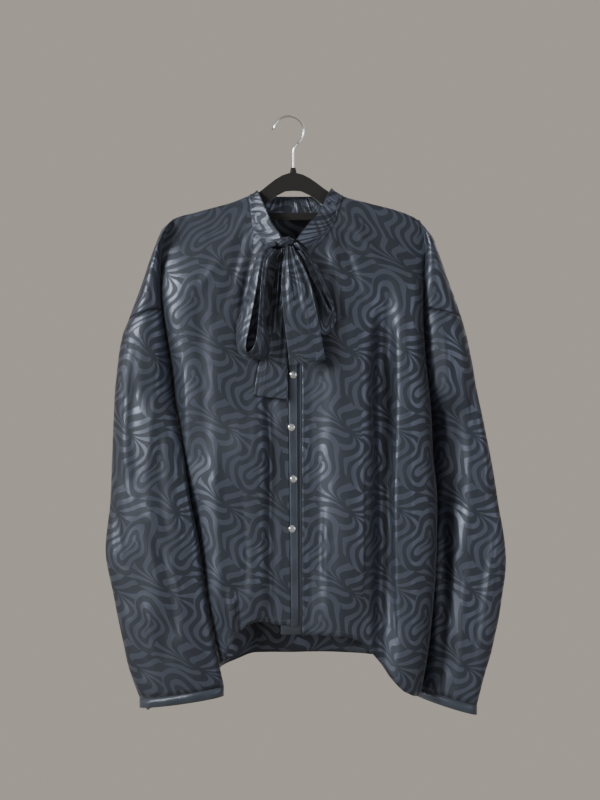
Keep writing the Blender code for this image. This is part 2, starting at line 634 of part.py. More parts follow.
def tailGrid(rows, stations=12, across=10):
    along = np.linspace(0, 1, stations + 1)
    rightX, rightDown, leftX, leftDown, y = curveThrough(rows)(along)
    right = np.stack([rightX, y, -rightDown], axis=-1)
    left = np.stack([leftX, y, -leftDown], axis=-1)
    depth = tailPleatLift * smoothStep(along / 0.3) * (1 - smoothStep(along / 0.8))
    grid = []
    for s in np.linspace(0, 1, across + 1):
        pleat = np.sin(s * tailPleats * 2 * math.pi) * depth
        row = right + (left - right) * s
        row[:, 1] += pleat - 0.002 * np.sin(math.pi * s) * along
        grid.append(row)
    return np.array(grid)


def bandGrid(seamX, edgeX, topDown, bottomDown, layer, edgeFirst):
    """A front band between its seam and its free edge."""
    levels = np.concatenate([np.linspace(topDown, underarm, 6), np.linspace(underarm, bottomDown, 13)[1:]])
    grid = []
    for down in levels:
        xs = np.linspace(seamX(down), edgeX(down), 3)
        depth = hangingDepth(xs, np.full(3, down), 0) + foldLift(frontFolds, xs, np.full(3, down))
        grid.append(np.stack([xs, -(seamGap / 2 + depth) + layer, np.full(3, -down)], axis=-1))
    grid = np.array(grid)
    return grid[:, ::-1] if edgeFirst else grid


def makeMaterial(name, colour, roughness, metallic=0.0):
    material = bpy.data.materials.new(name)
    material.use_nodes = True
    shader = material.node_tree.nodes["Principled BSDF"]
    shader.inputs["Base Color"].default_value = (*colour, 1)
    shader.inputs["Roughness"].default_value = roughness
    shader.inputs["Metallic"].default_value = metallic
    return material


def addObject(name, mesh, material):
    mesh.materials.append(material)
    made = bpy.data.objects.new(name, mesh)
    bpy.data.collections[collectionName].objects.link(made)
    return made


def adoptObject(name, material):
    """Names the primitive just added and moves it to the blouse's collection."""
    made = bpy.context.object
    made.name = name
    made.data.materials.append(material)
    for holder in list(made.users_collection):
        holder.objects.unlink(made)
    bpy.data.collections[collectionName].objects.link(made)
    return made


def clothPiece(name, grid, wall, material, weld=False):
    """A wall of cloth on a grid of points whose columns run to the right as seen from outside."""
    build = bmesh.new()
    verts = {}
    for index in np.ndindex(grid.shape[:2]):
        if not np.isnan(grid[index][0]):
            verts[index] = build.verts.new(grid[index])
    for row, column in np.ndindex(grid.shape[0] - 1, grid.shape[1] - 1):
        corners = [(row, column), (row + 1, column), (row + 1, column + 1), (row, column + 1)]
        if all(corner in verts for corner in corners):
            build.faces.new([verts[corner] for corner in corners])
    if weld:
        bmesh.ops.remove_doubles(build, verts=build.verts, dist=0.00005)
    loose = [v for v in build.verts if not v.link_faces]
    bmesh.ops.delete(build, geom=loose, context="VERTS")
    mesh = bpy.data.meshes.new(name)
    build.to_mesh(mesh)
    build.free()
    mesh.shade_smooth()
    made = addObject(name, mesh, material)
    solidify = made.modifiers.new("wall", "SOLIDIFY")
    solidify.thickness = wall
    solidify.offset = -1
    solidify.use_even_offset = False
    return made


def wirePiece(name, route, diameter, material):
    curve = bpy.data.curves.new(name, "CURVE")
    curve.dimensions = "3D"
    curve.bevel_depth = diameter / 2
    curve.bevel_resolution = 2
    curve.use_fill_caps = True
    spline = curve.splines.new("POLY")
    spline.points.add(len(route) - 1)
    for point, place in zip(spline.points, route):
        point.co = (*place, 1)
    curve.materials.append(material)
    made = bpy.data.objects.new(name, curve)
    bpy.data.collections[collectionName].objects.link(made)
    return made


def flatPiece(name, outlines, thick, material):
    """A flat plate standing in the XZ plane, with its holes as further outlines."""
    curve = bpy.data.curves.new(name, "CURVE")
    curve.dimensions = "2D"
    curve.fill_mode = "BOTH"
    curve.extrude = thick / 2
    for outline in outlines:
        spline = curve.splines.new("POLY")
        spline.points.add(len(outline) - 1)
        for point, (x, z) in zip(spline.points, outline):
            point.co = (x, z, 0, 1)
        spline.use_cyclic_u = True
    curve.materials.append(material)
    made = bpy.data.objects.new(name, curve)
    made.rotation_euler = (math.radians(90), 0, 0)
    bpy.data.collections[collectionName].objects.link(made)
    return made


def archDown(x):
    """The top line of the hanger: the shoulder line less the cloth, arched up in the middle."""
    away = abs(x - centreX)
    halfArch = 0.062
    line = float(shoulderDown(x)[0]) + armGap
    if away >= halfArch:
        return line
    foot = float(shoulderDown(centreX + math.copysign(halfArch, x - centreX))[0]) + armGap
    rise = foot - archTop
    return foot - rise * math.cos(math.pi / 2 * away / halfArch) ** 1.35


def armDepth(x):
    reach = (x - centreX) / ((hangerTips[0] if x < centreX else hangerTips[1]) - centreX)
    return armDepthMiddle + (armDepthTip - armDepthMiddle) * reach**1.5


def makeHanger(flock, chrome):
    """Arms and bar in one plate with the gap under the arch, the neck and the wire hook."""
    tops = np.linspace(hangerTips[0], hangerTips[1], 33)
    upper = [(x, -archDown(x)) for x in tops]
    lower = []
    for x in tops[::-1]:
        z = -(archDown(x) + armDepth(x))
        if barEnds[0] < x < barEnds[1]:
            z = min(z, -barBottom)
        lower.append((x, z))
    gap = []
    for x in np.linspace(archHole[0], archHole[1], 11):
        gap.append((x, min(-(archDown(x) + armDepthMiddle), -0.1100)))
    gap = [(x, z) for x, z in gap if z > -barTop + 0.001]
    gap = [(archHole[0], -barTop)] + gap + [(archHole[1], -barTop)]
    flatPiece("hanger_body", [upper + lower, gap], hangerThick, flock)
    bpy.ops.mesh.primitive_cone_add(
        vertices=16,
        radius1=neckRadii[0],
        radius2=neckRadii[1],
        depth=neckHeight,
        location=(centreX, 0, -archTop + neckHeight / 2 + 0.0003),
    )
    adoptObject("hanger_neck", flock)
    hookCentre = -(hookRadius - hookWire / 2)
    angles = np.radians(np.linspace(hookTipAngle, hookFootAngle, 22))
    route = [(hookRadius * math.cos(a), 0, hookCentre + hookRadius * math.sin(a)) for a in angles]
    tip = route[0]
    route.insert(0, (tip[0] - 0.0035, 0, tip[2] - 0.0012))
    route += [(centreX + 0.0012, 0, -stemTop + 0.0040), (centreX, 0, -stemTop - 0.0020)]
    route.append((centreX, 0, -stemFoot))
    wirePiece("hanger_hook", route, hookWire, chrome)


def makeButton(number, row, surface, material):
    bpy.ops.mesh.primitive_cylinder_add(
        vertices=20,
        radius=buttonDiameter / 2,
        depth=buttonThick,
        location=(row.x, surface - 0.0003 - buttonThick / 2, -row.down),
        rotation=(math.radians(90), 0, 0),
    )
    button = adoptObject(f"button_{number}", material)
    rim = button.modifiers.new("rim", "BEVEL")
    rim.width = 0.0011
    rim.segments = 2
    rim.limit_method = "ANGLE"


def makeKnot(material):
    build = bmesh.new()
    bmesh.ops.create_uvsphere(build, u_segments=20, v_segments=12, radius=0.5)
    for vert in build.verts:
        x, y, z = vert.co
        wave = 1 + 0.10 * math.sin(7 * math.atan2(z, x) + 5 * y)
        vert.co = (
            knotCentre[0] + x * knotSize[0] * wave,
            knotCentre[1] + y * knotSize[1],
            -knotCentre[2] + z * knotSize[2] * wave + 0.18 * x * knotSize[2],
        )
    mesh = bpy.data.meshes.new("tie_knot")
    build.to_mesh(mesh)
    build.free()
    mesh.shade_smooth()
    addObject("tie_knot", mesh, material)


def main():
    for old in list(bpy.data.objects):
        bpy.data.objects.remove(old, do_unlink=True)
    bpy.context.scene.collection.children.link(bpy.data.collections.new(collectionName))
    jacquard = makeMaterial("slate blue satin jacquard", (0.055, 0.080, 0.115), 0.42)
    satin = makeMaterial("plain slate satin", (0.10, 0.14, 0.20), 0.30)
    flock = makeMaterial("black flocking", (0.006, 0.006, 0.007), 0.95)
    chrome = makeMaterial("chromed steel wire", (0.55, 0.56, 0.57), 0.18, 1.0)
    crystal = makeMaterial("cut glass", (0.75, 0.76, 0.78), 0.12)

    seamR, edgeR = (lambda d, c=c: curveThrough(bandRightRows)(d)[c] for c in (0, 1))
    seamL, edgeL = (lambda d, c=c: curveThrough(bandLeftRows)(d)[c] for c in (0, 1))
    frontRight = panelGrid(0, 0, bodyGrid(neckFrontRight, rightColumns, 0, 0, hemFrontRight, seamR))
    clothPiece("front_right", frontRight[:, ::-1], clothWall, jacquard)
    frontLeft = panelGrid(1, 0, bodyGrid(neckFrontLeft, leftColumns, 1, 0, hemFrontLeft, seamL))
    behind = underLayer * (1 - smoothStep((frontLeft[..., 0] - 0.0205) / underBlend))
    frontLeft[..., 1] += behind
    clothPiece("front_left", frontLeft, clothWall, jacquard)

    def middle(down):
        return np.full(np.shape(down), centreX)

    backRight = panelGrid(0, 1, bodyGrid(neckBackRight, backColumnsRight, 0, 1, hemBack, middle))
    backLeft = panelGrid(1, 1, bodyGrid(neckBackLeft, backColumnsLeft, 1, 1, hemBack, middle))
    back = np.concatenate([backLeft[:, ::-1], backRight[:, 1:]], axis=1)
    clothPiece("back", back, clothWall, jacquard)

    bandRight = bandGrid(lambda d: seamR(d) + seamGap, edgeR, 0.2062, 0.7570, 0.0, False)
    clothPiece("placket_right", bandRight, bandWall, satin)
    bandLeft = bandGrid(lambda d: seamL(d) - seamGap, edgeL, 0.2075, 0.7700, underLayer, True)
    clothPiece("placket_left", bandLeft, bandWall, satin)

    for side, name in enumerate(("right", "left")):
        rows = (sleeveRightRows, sleeveLeftRows)[side]
        below = np.linspace(underarm, rows[-1].down, sleeveLevels + 1)[1:]
        levels = [rows[0].down + armholeGap] + list(armholeLevels[1:]) + list(below)
        clothPiece(f"sleeve_{name}", sleeveGrid(side, levels), clothWall, jacquard, weld=True)
        clothPiece(f"cuff_{name}", cuffGrid(side), bandWall, satin, weld=True)

    clothPiece("collar", collarGrid(), bandWall, jacquard)
    clothPiece("bow_loop_right", loopGrid(loopRightRows), bandWall, jacquard)
    clothPiece("bow_loop_left", loopGrid(loopLeftRows), bandWall, jacquard)
    clothPiece("tie_end_front", np.swapaxes(tailGrid(tailFrontRows), 0, 1), bandWall, jacquard)
    clothPiece("tie_end_rear", np.swapaxes(tailGrid(tailRearRows), 0, 1), bandWall, jacquard)
    makeKnot(jacquard)
    for number, row in enumerate(buttonRows, 1):
        surface = float(-(seamGap / 2 + hangingDepth(row.x, row.down, 0)))
        surface -= float(foldLift(frontFolds, row.x, row.down))
        makeButton(number, row, surface, crystal)
    makeHanger(flock, chrome)


main()
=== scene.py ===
# The looks of a slate blue satin tie neck blouse on a flocked hanger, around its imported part.
# Tables and surface formulas follow the part's own, cut finer. "down" is the distance below
# the hook's bend. Left and right are the wearer's. Metres, but the tables give millimetres,
# and shares of a length in thousandths.
import json
import math
from collections import namedtuple

import bmesh
import bpy
import numpy as np
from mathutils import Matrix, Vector, noise

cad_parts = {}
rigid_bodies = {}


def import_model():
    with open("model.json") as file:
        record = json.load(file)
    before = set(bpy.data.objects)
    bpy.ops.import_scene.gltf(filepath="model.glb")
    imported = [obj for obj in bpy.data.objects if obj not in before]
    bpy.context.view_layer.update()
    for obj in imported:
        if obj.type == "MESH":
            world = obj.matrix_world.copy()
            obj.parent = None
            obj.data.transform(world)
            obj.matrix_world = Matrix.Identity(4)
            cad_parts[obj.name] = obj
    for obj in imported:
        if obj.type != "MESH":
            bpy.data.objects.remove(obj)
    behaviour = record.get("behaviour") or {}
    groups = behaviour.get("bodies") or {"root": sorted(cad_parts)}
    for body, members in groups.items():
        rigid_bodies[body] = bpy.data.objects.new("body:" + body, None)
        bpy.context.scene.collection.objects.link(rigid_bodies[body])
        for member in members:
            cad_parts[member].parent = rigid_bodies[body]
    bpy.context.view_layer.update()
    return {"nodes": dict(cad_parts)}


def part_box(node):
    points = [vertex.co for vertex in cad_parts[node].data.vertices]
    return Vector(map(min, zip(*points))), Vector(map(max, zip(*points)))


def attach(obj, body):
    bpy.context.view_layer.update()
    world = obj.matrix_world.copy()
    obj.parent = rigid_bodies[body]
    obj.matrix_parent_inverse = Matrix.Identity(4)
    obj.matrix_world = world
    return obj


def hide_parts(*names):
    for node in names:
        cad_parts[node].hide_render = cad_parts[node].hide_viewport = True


for old in list(bpy.data.objects):
    bpy.data.objects.remove(old, do_unlink=True)
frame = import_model()
print("frame loaded")

clothWall = 0.0010  # cut single
bandWall = 0.0012  # folded double: bands, cuffs, collar and bow
seamGap = 0.0004  # between sewn pieces
armholeGap = 0.0006
centreX = 0.0068  # the middle of the back


# Rows of a table, with named columns
def table(columns, *rows):
    kind = namedtuple("row", columns)
    return [kind(*(value / 1000 for value in row)) for row in rows]


# Shoulder line, where the cloth folds over the hanger's arms
shoulderRows = table(
    "x down",
    (-190.8, 169.2), (-179.3, 157.4), (-164.9, 149.3), (-141.8, 143.3), (-117.8, 136.8),
    (-87.8, 128.5), (-58.7, 117.2), (6.8, 90), (81.8, 118.4), (122.3, 129.2), (169.4, 141.8),
    (188.3, 150.3), (202.5, 162.2), (216.8, 180.8),
)
shoulderRound = 0.007  # radius of the fold over the arms
shoulderFall = 0.12  # drop in which the cloth reaches its full depth

# Front and back stand this far from the hanger's plane
depthRows = table(
    "down front back",
    (150, 33, 22), (220, 38, 28), (320, 43, 33), (450, 44, 35), (600, 43, 34), (750, 40, 31),
    (870, 37, 28),
)

# Body edges: the valley beside the sleeve down to the underarm, then the side seam
underarm = 0.405
upperHeight = 0.15  # the cloth above the armhole, nearly
hemMiddle = 0.80  # levels where a front's foot and side are measured across
hemSide = 0.84
sideRows = table(
    "down right left",
    (153, -173, 196), (200, -189.5, 204.5), (245, -191, 201.5), (290, -187, 200.8),
    (350, -178.5, 204), (405, -171.5, 210.5), (450, -168, 214), (500, -162.5, 216),
    (577, -152, 222.8), (668, -136, 221.3), (730, -126.5, 216.8), (791, -113, 210.5),
    (826, -103, 205), (870, -100, 197),
)
sideRoundRight = 0.24  # share of a half body that rounds away at its edge
sideRoundLeft = 0.16
valleyStart = 0.165  # the valley sinks in between these two levels
valleyFull = 0.235
valleyRows = table(
    "down depth",
    (235, 12), (290, 9), (350, 5), (405, 0),
)

# Neck seam: u runs from the front or back middle (0) to the shoulder (neckShare)
neckShare = 0.45
neckColumns = "u x down"
neckFrontRight = table(
    neckColumns,
    (0, -2, 206), (80, -32.9, 196.7), (140, -43.2, 182.3), (200, -53.7, 167.3), (270, -56.5, 143),
    (340, -58, 126), (400, -58.4, 119.5), (450, -58.7, 117.2),
)
neckFrontLeft = table(
    neckColumns,
    (0, 20, 206.5), (60, 24, 205.5), (130, 46.7, 187.4), (200, 62.7, 170.3), (270, 72.5, 150),
    (340, 78.5, 129), (400, 80.8, 121), (450, 81.8, 118.4),
)
neckBackRight = table(
    neckColumns,
    (0, 6.8, 149), (120, -18, 148), (220, -40, 143), (290, -52, 134), (340, -56.5, 125.5),
    (400, -58.2, 119.5), (450, -58.7, 117.2),
)
neckBackLeft = table(
    neckColumns,
    (0, 6.8, 149), (120, 35, 148), (220, 60, 143), (290, 74, 134), (340, 79, 126),
    (400, 81.2, 120.5), (450, 81.8, 118.4),
)

# Hems, front to the wearer's right, front to the left, and back
hemColumns = "x down"
hemFrontRight = table(
    hemColumns,
    (-103.5, 823.5), (-90, 808), (-76, 784), (-56, 761), (-36, 750), (-10, 755.5), (16, 757),
)
hemFrontLeft = table(
    hemColumns,
    (-12, 768), (12.8, 775.5), (30, 770), (70, 771.5), (94, 776.3), (124, 801.8), (150, 834.3),
    (180, 858), (199, 864.2),
)
hemBack = table(
    hemColumns,
    (-103.5, 825.8), (-79, 818.3), (-47, 808), (0, 806), (60, 807), (124, 809), (155, 837),
    (199, 864.2),
)

# Front edges: the overlapping band's two edges and the under band's
edgeColumns = "down seam edge"
bandRightRows = table(
    edgeColumns,
    (200, -2, 11.8), (374, -0.8, 13), (780, 3.8, 15.5),
)
bandLeftRows = table(
    edgeColumns,
    (200, 20, -12), (780, 20.5, -11.5),
)
underLayer = 0.0030  # the under front lies this far behind the overlapping one
underBlend = 0.045  # and comes level again over this width

# Folds hung in the cloth: lift is positive where the fold stands out
foldColumns = "topX top endX end width lift"
frontFolds = table(
    foldColumns,
    (-95, 225, -90, 760, 34, 5), (-30, 300, -26, 800, 13, -6), (-133, 260, -118, 700, 14, -3),
    (-73, 670, -76, 850, 8, -4.5), (72, 240, 74, 850, 24, 5), (144, 215, 140, 880, 14, -12),
    (113, 450, 109, 850, 10, -3), (178, 230, 180, 860, 16, 4), (-48, 150, -30, 245, 8, 2.2),
    (76, 165, 56, 245, 9, 2.4),
)
backFolds = table(
    foldColumns,
    (-125, 230, -115, 800, 18, -7), (-70, 260, -60, 850, 24, 5), (-5, 200, 0, 850, 20, -7),
    (60, 240, 62, 850, 22, 4.5), (135, 220, 130, 880, 20, -8),
)

# Sleeves: inner and outer edge by level. half is half the thickness of the flattened tube
sleeveColumns = "down inner outer outerDown half innerY outerY"
sleeveRightRows = table(
    sleeveColumns,
    (290, -187.4, -240.3, 305.9, 22, 0, 0), (320, -183.2, -250, 330, 27, 0, 0),
    (362, -177.2, -256.2, 370, 30, 0, 0), (405, -172.2, -260, 408, 31, 0, 0),
    (450, -166.5, -262.6, 450, 30, -18, 1), (500, -156.3, -264.5, 500, 29, -28, 2),
    (571, -144.8, -268, 571, 28, -32, 4), (644, -131.3, -276, 648, 28, -34, 6),
    (724, -120.2, -263, 720, 27, -34, 6), (776, -111, -249.5, 782, 26, -32, 6),
    (818, -101.9, -239, 830, 25, -30, 5), (846.5, -95.7, -224.3, 870.5, 24, -28, 4),
)
sleeveLeftRows = table(
    sleeveColumns,
    (290, 201.2, 260.3, 303.8, 22, 0, 0), (325, 203, 266.3, 327, 27, 0, 0),
    (365, 206, 275, 369, 30, 0, 0), (405, 211.2, 282.2, 408, 31, 0, 0),
    (450, 212.8, 290.5, 450, 30, 24, -1), (513, 210, 303, 513, 29, 34, -1),
    (577, 215, 313.5, 579, 28, 34, -2), (640, 214, 323.8, 640, 28, 30, -4),
    (668, 213, 325.2, 664, 28, 30, -4), (730, 208.5, 317.3, 730, 27, 29, -4),
    (791, 202.5, 305.3, 791, 26, 28, -4), (830, 196.5, 293, 837, 25, 31, -3),
    (856, 190, 282.3, 880, 24, 32, -2),
)
armholeRise = 0.005  # the armhole seam bows up by this between valley and outer edge
capRound = 0.020  # the cloth past the hanger's tip fills out over this drop
sleeveRightFolds = table(
    foldColumns,
    (-210, 560, -165, 790, 12, 4.5), (-195, 420, -175, 800, 11, -5),
    (-238, 330, -230, 560, 12, -3.5), (-233, 640, -213, 840, 14, -4),
)
sleeveLeftFolds = table(
    foldColumns,
    (248, 330, 255, 600, 12, -5), (276, 450, 250, 800, 13, 4), (235, 560, 230, 840, 10, -4),
    (298, 560, 270, 850, 12, -4.5),
)
cuffHeight = 0.0150

# Collar's top edge, from the right front round the back to the left front
collarRows = table(
    "around x y down",
    (-370, -8.5, -42.5, 189.5), (-310, -12.5, -39, 179), (-250, -23.6, -30, 162.8),
    (-180, -33, -21, 140), (-110, -41, -13, 122.5), (-50, -45.2, -6.2, 112.5), (0, -46.8, 0, 109.8),
    (50, -45.5, 6, 112), (110, -42, 11, 115), (160, -36, 14, 116.5), (230, -25, 16, 116.5),
    (330, -10, 17.5, 116.5), (450, 6.8, 18, 116.5), (570, 24, 17.5, 116.5), (670, 40, 16, 116.5),
    (740, 52, 14, 115.5), (790, 59, 11, 112.5), (850, 62.5, 6, 108.5), (900, 64, 0, 106.8),
    (950, 62, -6.2, 109.5), (1010, 57.5, -13, 118.5), (1090, 50, -20, 136),
    (1150, 42.8, -27, 149.3), (1220, 28.2, -37, 165.3), (1270, 11, -42.5, 188),
)

# Bow: each loop is a strip between its back edge and its front edge, out from the knot and back
loopColumns = "along backX backY backDown frontX frontY frontDown"
loopRightRows = table(
    loopColumns,
    (0, -18.1, -48, 194, -18.1, -54.5, 196.5), (80, -35, -48.5, 199, -35, -61, 209),
    (180, -48.5, -48, 223, -40.5, -68, 230), (300, -63.6, -48.5, 279.1, -47.8, -74, 274),
    (420, -75.9, -49, 322.6, -56, -76, 319), (490, -73.5, -49.5, 351, -61.2, -76.5, 346),
    (540, -59, -50, 361, -58.5, -76.5, 355), (600, -35, -53, 364, -51, -76.5, 348),
    (660, -27.5, -56, 345, -46, -76, 330), (760, -34.5, -57, 302, -43, -75, 296),
    (860, -34, -56, 256, -40, -70, 256), (940, -26, -56, 216, -35, -65, 220),
    (1000, -20, -56, 202, -23, -61.5, 204),
)
loopLeftRows = table(
    loopColumns,
    (0, 10, -47.5, 190.5, 12, -53.5, 193), (80, 26, -48.5, 203, 25, -59, 211),
    (180, 41, -48, 224, 38, -61, 229), (300, 54, -48, 253, 50, -62, 257),
    (400, 66.5, -48.5, 283, 62, -62.5, 282), (470, 70, -49.5, 304, 66.5, -62.5, 292),
    (520, 65.5, -50.5, 318, 65, -63, 296), (570, 54.5, -53, 329, 60, -64, 293),
    (630, 44, -55, 323, 55, -65, 285), (740, 37, -56, 286, 44, -65, 264),
    (860, 27, -56, 245, 32, -64, 242), (940, 18.5, -56, 218, 24.5, -63, 220),
    (1000, 12, -58, 206, 16.5, -64, 208),
)

# Tie ends: both edges by level, with their distance in front of the hanger's plane
tailColumns = "along rightX rightDown leftX leftDown y"
tailFrontRows = table(
    tailColumns,
    (0, -3.5, 198.5, 6.5, 199, -56), (140, -7.5, 230, 20, 226, -70),
    (300, -9.3, 256, 31.5, 255, -73.5), (520, -8, 292, 39.5, 290, -74.5),
    (760, -3, 332, 46.8, 326, -73), (1000, 1.6, 375.1, 54.1, 365.2, -70),
)
tailRearRows = table(
    tailColumns,
    (0, -11, 201.6, -3, 201.6, -50.5), (160, -18, 240, -2, 238, -53), (380, -25, 290, -2, 290, -51),
    (620, -33, 340, -2, 342, -50.5), (800, -44.5, 376, -2.2, 380, -50.5),
    (1000, -50.9, 417.7, -2.9, 423.1, -51),
)
knotSize = (0.0270, 0.0140, 0.0160)
knotCentre = (-0.0045, -0.0498, 0.1925)  # x, y, down

buttonDiameter = 0.0110
buttonThick = 0.0036


# Fine grids: the same columns and rows as the solids, cut finer
def refine(places, parts):
    ends = np.arange(len(places))
    last = len(places) - 1
    return tuple(np.interp(np.linspace(0, last, last * parts + 1), ends, places))


roundAngles = refine((0, 6, 35, 62, 90), 3)  # degrees round the fold over the arms
upperShares = tuple(np.linspace(0.06, 1.0, 26))
rightColumns = refine((0.0, 0.08, 0.14, 0.20, 0.27, 0.34, 0.40, 0.45, 0.55, 0.66, 0.76), 5)
leftShares = (0.0, 0.06, 0.13, 0.20, 0.27, 0.34, 0.40, 0.45, 0.52, 0.59, 0.65, 0.71, 0.77, 0.84)
leftColumns = refine(leftShares, 4)
backColumnsRight = refine((0.0, 0.12, 0.22, 0.29, 0.34, 0.40, 0.45, 0.54, 0.64, 0.76), 5)
backColumnsLeft = refine((0.0, 0.12, 0.22, 0.29, 0.34, 0.40, 0.45, 0.54, 0.64, 0.74, 0.84), 5)
edgeAngles = refine((72, 45, 22, 2.5, 0), 3)[1:]  # degrees round a side edge
capAngles = refine((0, 20, 45, 72, 100, 126, 151, 176, 180), 3)
sleeveAngles = refine((0, 20, 45, 72, 100, 126, 151, 180), 5)
armholeLevels = tuple(np.linspace(0.290, 0.405, 16))
lowerShares = tuple(np.linspace(0.018, 1.0, 56))
sleeveLevels = 80


def curveThrough(rows):
    numbers = np.array(rows, float)
    at, values = numbers[:, 0], numbers[:, 1:]
    secants = np.diff(values, axis=0) / np.diff(at)[:, None]
    product = secants[:-1] * secants[1:]
    total = secants[:-1] + secants[1:]
    inner = np.where(product > 0, 2 * product / np.where(product > 0, total, 1), 0)
    slopes = np.vstack([secants[:1], inner, secants[-1:]])

    def valuesAt(places):
        places = np.clip(np.asarray(places, float), at[0], at[-1])
        k = np.clip(np.searchsorted(at, places, side="right") - 1, 0, len(at) - 2)
        step = (at[k + 1] - at[k])[..., None]
        t = (places - at[k])[..., None] / step
        found = (
            (2 * t**3 - 3 * t**2 + 1) * values[k]
            + (t**3 - 2 * t**2 + t) * step * slopes[k]
            + (3 * t**2 - 2 * t**3) * values[k + 1]
            + (t**3 - t**2) * step * slopes[k + 1]
        )
        return tuple(np.moveaxis(found, -1, 0))

    return valuesAt


def smoothStep(t):
    t = np.clip(t, 0, 1)
    return t * t * (3 - 2 * t)


def quarterRound(t):
    return np.sqrt(1 - (1 - np.clip(t, 0, 1)) ** 2)


shoulderDown = curveThrough(shoulderRows)
bodyDepth = curveThrough(depthRows)
bodySides = curveThrough(sideRows)
valleyDepth = curveThrough(valleyRows)


def foldLift(folds, x, down):
    lift = np.zeros(np.broadcast(x, down).shape)
    for fold in folds:
        t = (down - fold.top) / (fold.end - fold.top)
        middle = fold.topX + (fold.endX - fold.topX) * np.clip(t, 0, 1)
        fade = smoothStep(t / 0.2) * smoothStep((1 - t) / 0.15 + 0.35)
        lift = lift + fold.lift * fade * np.exp(-(((x - middle) / fold.width) ** 2))
    return lift


def hangingDepth(x, down, face):
    drop = np.maximum(down - shoulderDown(x)[0], 0)
    full = bodyDepth(down)[face]
    return shoulderRound * quarterRound(drop / shoulderRound) + (full - shoulderRound) * smoothStep(
        drop / shoulderFall
    )


def valleyAt(x, down, face):
    sunk = smoothStep((down - valleyStart) / (valleyFull - valleyStart))
    return hangingDepth(x, down, face) * (1 - sunk) + valleyDepth(down)[0] * sunk


def bodyPoint(u, x, down, side, face):
    edgeX = bodySides(down)[side]
    share = (sideRoundRight, sideRoundLeft)[side]
    depth = hangingDepth(x, down, face)
    valley = valleyAt(edgeX, down, face)
    level = quarterRound((1 - u) / share)
    folds = (frontFolds, backFolds)[face]
    lift = foldLift(folds, x, down) * smoothStep((depth - shoulderRound) / 0.02) * level
    out = seamGap / 2 + valley + (depth - valley) * level + lift
    return np.stack([x, (-1, 1)[face] * out, -down], axis=-1)


def sideFractions(columns, side):
    share = (sideRoundRight, sideRoundLeft)[side]
    rounding = [1 - share * (1 - math.cos(math.radians(angle))) for angle in edgeAngles]
    return np.array(list(columns) + rounding)


def topEdge(neckRows, u, side):
    neck = curveThrough(neckRows)
    neckX, neckDown = neck(np.minimum(u, neckShare))
    tip = (sideRows[0].right, sideRows[0].left)[side]
    t = np.clip((u - neckShare) / (1 - neckShare), 0, 1)
    x = neckX + (tip - neckRows[-1].x) * t
    return x, np.where(u > neckShare, shoulderDown(x)[0], neckDown)


def bodyGrid(neckRows, columns, side, face, hemRows, middleX):
    u = sideFractions(columns, side)
    topX, topDown = topEdge(neckRows, u, side)
    level = armholeLevels[0]
    lowX = middleX(level) + u * (bodySides(level)[side] - middleX(level))
    rounding = [shoulderRound * (1 - math.cos(math.radians(a))) / upperHeight for a in roundAngles]
    points = []
    for share in rounding + list(upperShares):
        down = topDown + (level - topDown) * share
        x = topX + (lowX - topX) * share
        straight = topX[-1] + (lowX[-1] - topX[-1]) * share
        x = x + (bodySides(down)[side] - straight) * u**4 * (share > 0)
        points.append(bodyPoint(u, x, down, side, face))
    for down in armholeLevels[1:]:
        x = middleX(down) + u * (bodySides(down)[side] - middleX(down))
        points.append(bodyPoint(u, x, np.full_like(u, down), side, face))
    hem = curveThrough(hemRows)
    hemX = middleX(hemMiddle) + u * (bodySides(hemSide)[side] - middleX(hemMiddle))
    for share in lowerShares:
        down = underarm + (hem(hemX)[0] - underarm) * share
        x = middleX(down) + u * (bodySides(down)[side] - middleX(down))
        points.append(bodyPoint(u, x, down, side, face))
    return np.array(points)


def capGrid(side, face, body):
    sleeve = (sleeveRightRows, sleeveLeftRows)[side]
    outerTop = (shoulderRows[0], shoulderRows[-1])[side]
    rows = len(roundAngles) + len(upperShares)
    valleyColumn = body[:rows, -1]
    bottom = valleyColumn[-1]
    share = (-valleyColumn[:, 2] + valleyColumn[0, 2]) / (valleyColumn[0, 2] - bottom[2])
    angles = np.radians(np.array(capAngles))
    w = (1 - np.cos(angles)) / 2
    points = []
    for row, t in enumerate(share):
        valley = valleyColumn[row]
        outerX = outerTop.x + (sleeve[0].outer - outerTop.x) * t
        outerDown = outerTop.down + (sleeve[0].outerDown - outerTop.down) * t
        x = valley[0] + (outerX - valley[0]) * w
        down = -valley[2] + (outerDown + valley[2]) * w - armholeRise * np.sin(angles) * t
        drop = t * (sleeve[0].outerDown - outerTop.down)
        fill = sleeve[0].half * quarterRound(drop / capRound)
        base = (-1, 1)[face] * valley[1] - seamGap / 2
        corner = seamGap * math.exp(-drop / 0.003) * w**4
        out = seamGap / 2 + corner + base * (1 + np.cos(angles)) / 2 + fill * np.sin(angles)
        points.append(np.stack([x, (-1, 1)[face] * out, -down], axis=-1))
    return np.array(points)


def panelGrid(side, face, body):
    cap = capGrid(side, face, body)
    blank = np.full((len(body) - len(cap), cap.shape[1], 3), np.nan)
    return np.concatenate([body, np.concatenate([cap, blank])[:, 1:]], axis=1)


